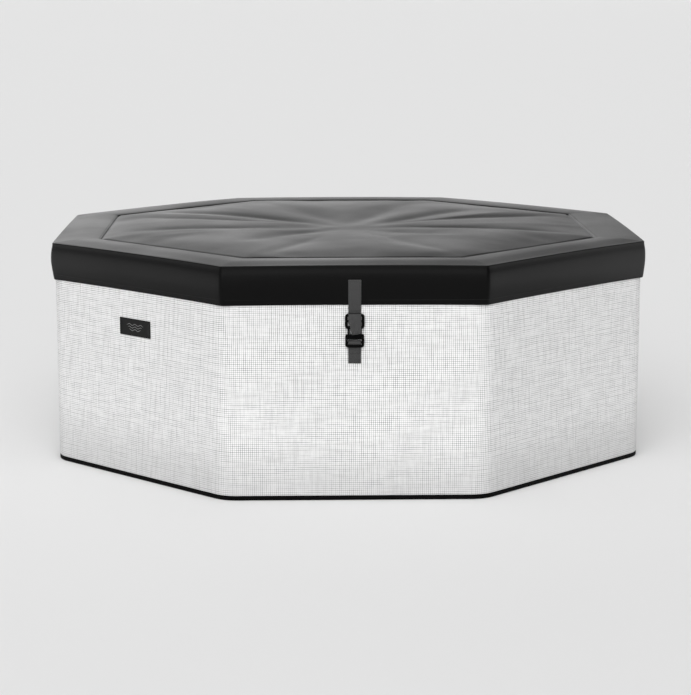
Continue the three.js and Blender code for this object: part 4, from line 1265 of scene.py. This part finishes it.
def cartridge():
    """The filter cartridge: deep pleats between two moulded end caps."""
    low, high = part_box("filter_cartridge")
    middle = np.array(centre("filter_cartridge").xz)
    pleats, per_pleat = 56, 6
    along = np.arange(pleats * per_pleat) / per_pleat
    fold = np.abs(2 * (along % 1) - 1) ** 0.8
    around = directions(full_turn(pleats * per_pleat))
    loops = []
    for share in np.linspace(0.05, 0.95, 14):
        radius = (41 + 9.5 * fold + 0.3 * np.sin(11 * along + 5 * share)) * MM
        loops.append((share, radius[:, None] * around))
    loops += [(share, 21 * MM * around) for share in (0.95, 0.05)]
    rings = [np.insert(middle + loop, 1, low.y + (high.y - low.y) * share, axis=1) for share, loop in loops]
    obj = loft("cartridge_pleats", rings, close=True)
    place(obj, PAPER, "cartridge", "paper", "filter_cartridge")
    cap = 8 * MM
    for name, start in (("cartridge_front_cap", low.y), ("cartridge_back_cap", high.y - cap)):
        profile = [
            (start, 20 * MM), (start, 53 * MM), (start + cap, 53 * MM),
            (start + cap, 20 * MM), (start, 20 * MM),
        ]
        ring = turned(name, softened(profile, 1.5 * MM), "y", middle, 64)
        place(ring, FITTING, "cartridge", "paper")


def eyeball():
    """The jet's ball, with a bore through it and a lip round the bore."""
    low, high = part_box("return_eyeball")
    at = centre("return_eyeball")
    radius = (high.x - low.x) / 2
    bore = 7 * MM
    start = math.degrees(math.asin(bore / radius))
    reach = radius * math.cos(math.radians(start)) - 1 * MM
    lip = bore - 0.6 * MM
    profile = arc((at.y, 0), radius, 180 - start, start, 24)
    profile += [(at.y + reach, lip), (at.y - reach, lip), profile[0]]
    obj = turned("jet_eyeball", profile, "y", at.xz, 40)
    place(obj, FITTING, "eyeball", "fitting", "return_eyeball")


# ---- Carried-over CAD nodes ----

CREASE = math.radians(50)  # edges sharper than this stay sharp


def smooth_by_angle():
    """A modifier's node group that shades faces smooth and leaves sharp edges sharp."""
    group = bpy.data.node_groups.new("smooth_by_angle", "GeometryNodeTree")
    for way in ("INPUT", "OUTPUT"):
        group.interface.new_socket("Geometry", in_out=way, socket_type="NodeSocketGeometry")
    tree = Nodes(group)
    shape = tree.node("NodeGroupInput").outputs[0]
    angle = tree.node("GeometryNodeInputMeshEdgeAngle").outputs["Unsigned Angle"]
    gentle = tree.node("FunctionNodeCompare", {0: angle, 1: CREASE}, operation="LESS_EQUAL").outputs[0]
    faces = tree.node("GeometryNodeSetShadeSmooth", {"Geometry": shape}).outputs[0]
    inputs = {"Geometry": faces, "Shade Smooth": gentle}
    edges = tree.node("GeometryNodeSetShadeSmooth", inputs, domain="EDGE").outputs[0]
    tree.node("NodeGroupOutput", {0: edges})
    return group


SMOOTHING = smooth_by_angle()


def finish_node(name, material, bevel):
    """A better material, softened edges and smooth round faces on a CAD node."""
    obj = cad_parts[name]
    obj.data.materials.clear()
    obj.data.materials.append(material)
    add_modifier(obj, "WELD", merge_threshold=0.02 * MM)
    if bevel:
        corners = {"limit_method": "ANGLE", "angle_limit": math.radians(35)}
        add_modifier(obj, "BEVEL", width=bevel, segments=2, **corners)
    add_modifier(obj, "NODES", node_group=SMOOTHING)
    add_modifier(obj, "WEIGHTED_NORMAL", keep_sharp=True)


NODE_FINISHES = {
    "air_wall": (WALL_PVC, 0),
    "air_valve_body": (FITTING, 0.7),
    "air_valve_pin": (HOUSING, 0.5),
    "air_valve_cap": (FITTING, 1.0),
    "drain_fitting": (FITTING, 0.7),
    "drain_cap": (FITTING, 1.2),
    "unit_casing": (HOUSING, 0.8),
    "service_hatch": (HOUSING, 0.8),
    "hatch_hinge_pin": (STEEL, 0.4),
    "hatch_knob": (BUCKLE_PLASTIC, 1.0),
    "pump_volute": (HOUSING, 1.2),
    "pump_motor": (MOTOR_PAINT, 1.2),
    "pump_impeller": (FITTING, 0.4),
    "blower_housing": (HOUSING, 1.2),
    "blower_fan": (FITTING, 0.4),
    "control_box": (HOUSING, 1.5),
    "power_gland": (BUCKLE_PLASTIC, 0.6),
    "filter_housing": (HOUSING, 1.0),
    "filter_cap": (FITTING, 1.0),
    "return_nozzle": (FITTING, 1.0),
    "control_panel": (HOUSING, 1.0),
    "display_lens": (LENS, 0.4),
    "lid_bladder_valve": (FITTING, 0.6),
    **{f"panel_button_{i}": (FITTING, 0.8) for i in range(1, 5)},
    **{f"{side}_buckle_plug": (BUCKLE_PLASTIC, 0.7) for side in SIDE_NAMES},
    **{f"{side}_buckle_socket": (BUCKLE_PLASTIC, 0.9) for side in SIDE_NAMES},
}


# ---- The stage ----


STUDIO_GLOWS = (
    # towards, half-width in degrees, strength
    ((-0.14, -0.87, 0.63), 43, 2.68),  # the key, in front and a little to the left
    ((-0.28, 1.0, 0.04), 37, 1.28),  # what the lid's top mirrors
    ((0.0, 0.0, 1.0), 60, 0.86),
)
STUDIO_DARK = 0.18  # between the glows
GLOSS_CARD = (2.4, 0.9)  # metres along the tub, and tall
GLOSS_CARD_AT = (2.6, -0.6, 0.46)
GLOSS_CARD_WATTS = 8
FLOOR_SWEEP = ((155.0, 0.0), (162.0, 0.6), (169.0, 2.6), (172.0, 7.0), (172.0, 10.0))  # out, up
LENS_LENGTH = 105.63
CAMERA_AT = (-0.1793, -6.736, 1.510)
CAMERA_TILT, CAMERA_TURN = 79.718, -1.506  # degrees: up from straight down, and anticlockwise


def studio():
    """A plain pale floor that curves up a little at its far edge."""
    circle = directions(full_turn(96))
    floor = loft("studio_floor", [at_height(circle * out, z) for out, z in FLOOR_SWEEP], cap_start=True)
    floor.data.materials.append(studio_floor())


def lights():
    """Soft light from far away, as wide glows in the surround, so that the floor is lit evenly."""
    world = bpy.data.worlds.new("surround")
    bpy.context.scene.world = world
    world.use_nodes = True
    tree = Nodes(world.node_tree)
    towards = tree.node("ShaderNodeTexCoord").outputs["Generated"]
    total = STUDIO_DARK
    for direction, half_width, strength in STUDIO_GLOWS:
        inputs = {0: towards, 1: Vector(direction).normalized()}
        facing = tree.node("ShaderNodeVectorMath", inputs, operation="DOT_PRODUCT").outputs["Value"]
        glow = tree.spread(facing, math.cos(math.radians(half_width)), 1.0, 0.0, strength)
        total = tree.math("ADD", glow, total)
    background = world.node_tree.nodes["Background"]
    tree.feed(background.inputs["Strength"], total)
    tree.feed(background.inputs["Color"], (1, 1, 1, 1))


def gloss_cards():
    """A low softbox at each side that shows only as a reflection in the lid's skirt."""
    for end in (-1, 1):
        card = bpy.data.lights.new("gloss_card", "AREA")
        configure(card, shape="RECTANGLE", energy=GLOSS_CARD_WATTS)
        card.size, card.size_y = GLOSS_CARD
        obj = configure(add_object("gloss_card", card), visible_camera=False, visible_diffuse=False)
        obj.location = (end * GLOSS_CARD_AT[0], *GLOSS_CARD_AT[1:])
        obj.rotation_euler = (math.pi / 2, 0, end * math.pi / 2)


def camera():
    """The viewpoint: in front, a little to the left, and above the lid."""
    lens = configure(bpy.data.cameras.new("camera"), lens=LENS_LENGTH, clip_end=500)
    obj = add_object("camera", lens)
    obj.location = CAMERA_AT
    obj.rotation_euler = (math.radians(CAMERA_TILT), 0, math.radians(CAMERA_TURN))
    bpy.context.scene.camera = obj


# ---- The whole object ----

jacket()
base_mat()
basin_liner()
floor_cushion()
bubble_ring()
lid()
lid_stitching()
lid_lining()
lid_air_cushion()
lid_border_boards()
label_patch()
label_waves()
heater()
water_pipes()
cartridge()
eyeball()
for quarter, side in enumerate(SIDE_NAMES):
    lid_strap(side, quarter)
    strap_stitching(side, quarter)
    tub_strap(side, quarter)
for name, (material, bevel) in NODE_FINISHES.items():
    finish_node(name, material, bevel * MM)

bpy.context.scene.view_settings.view_transform = "Standard"
studio()
lights()
gloss_cards()
camera()
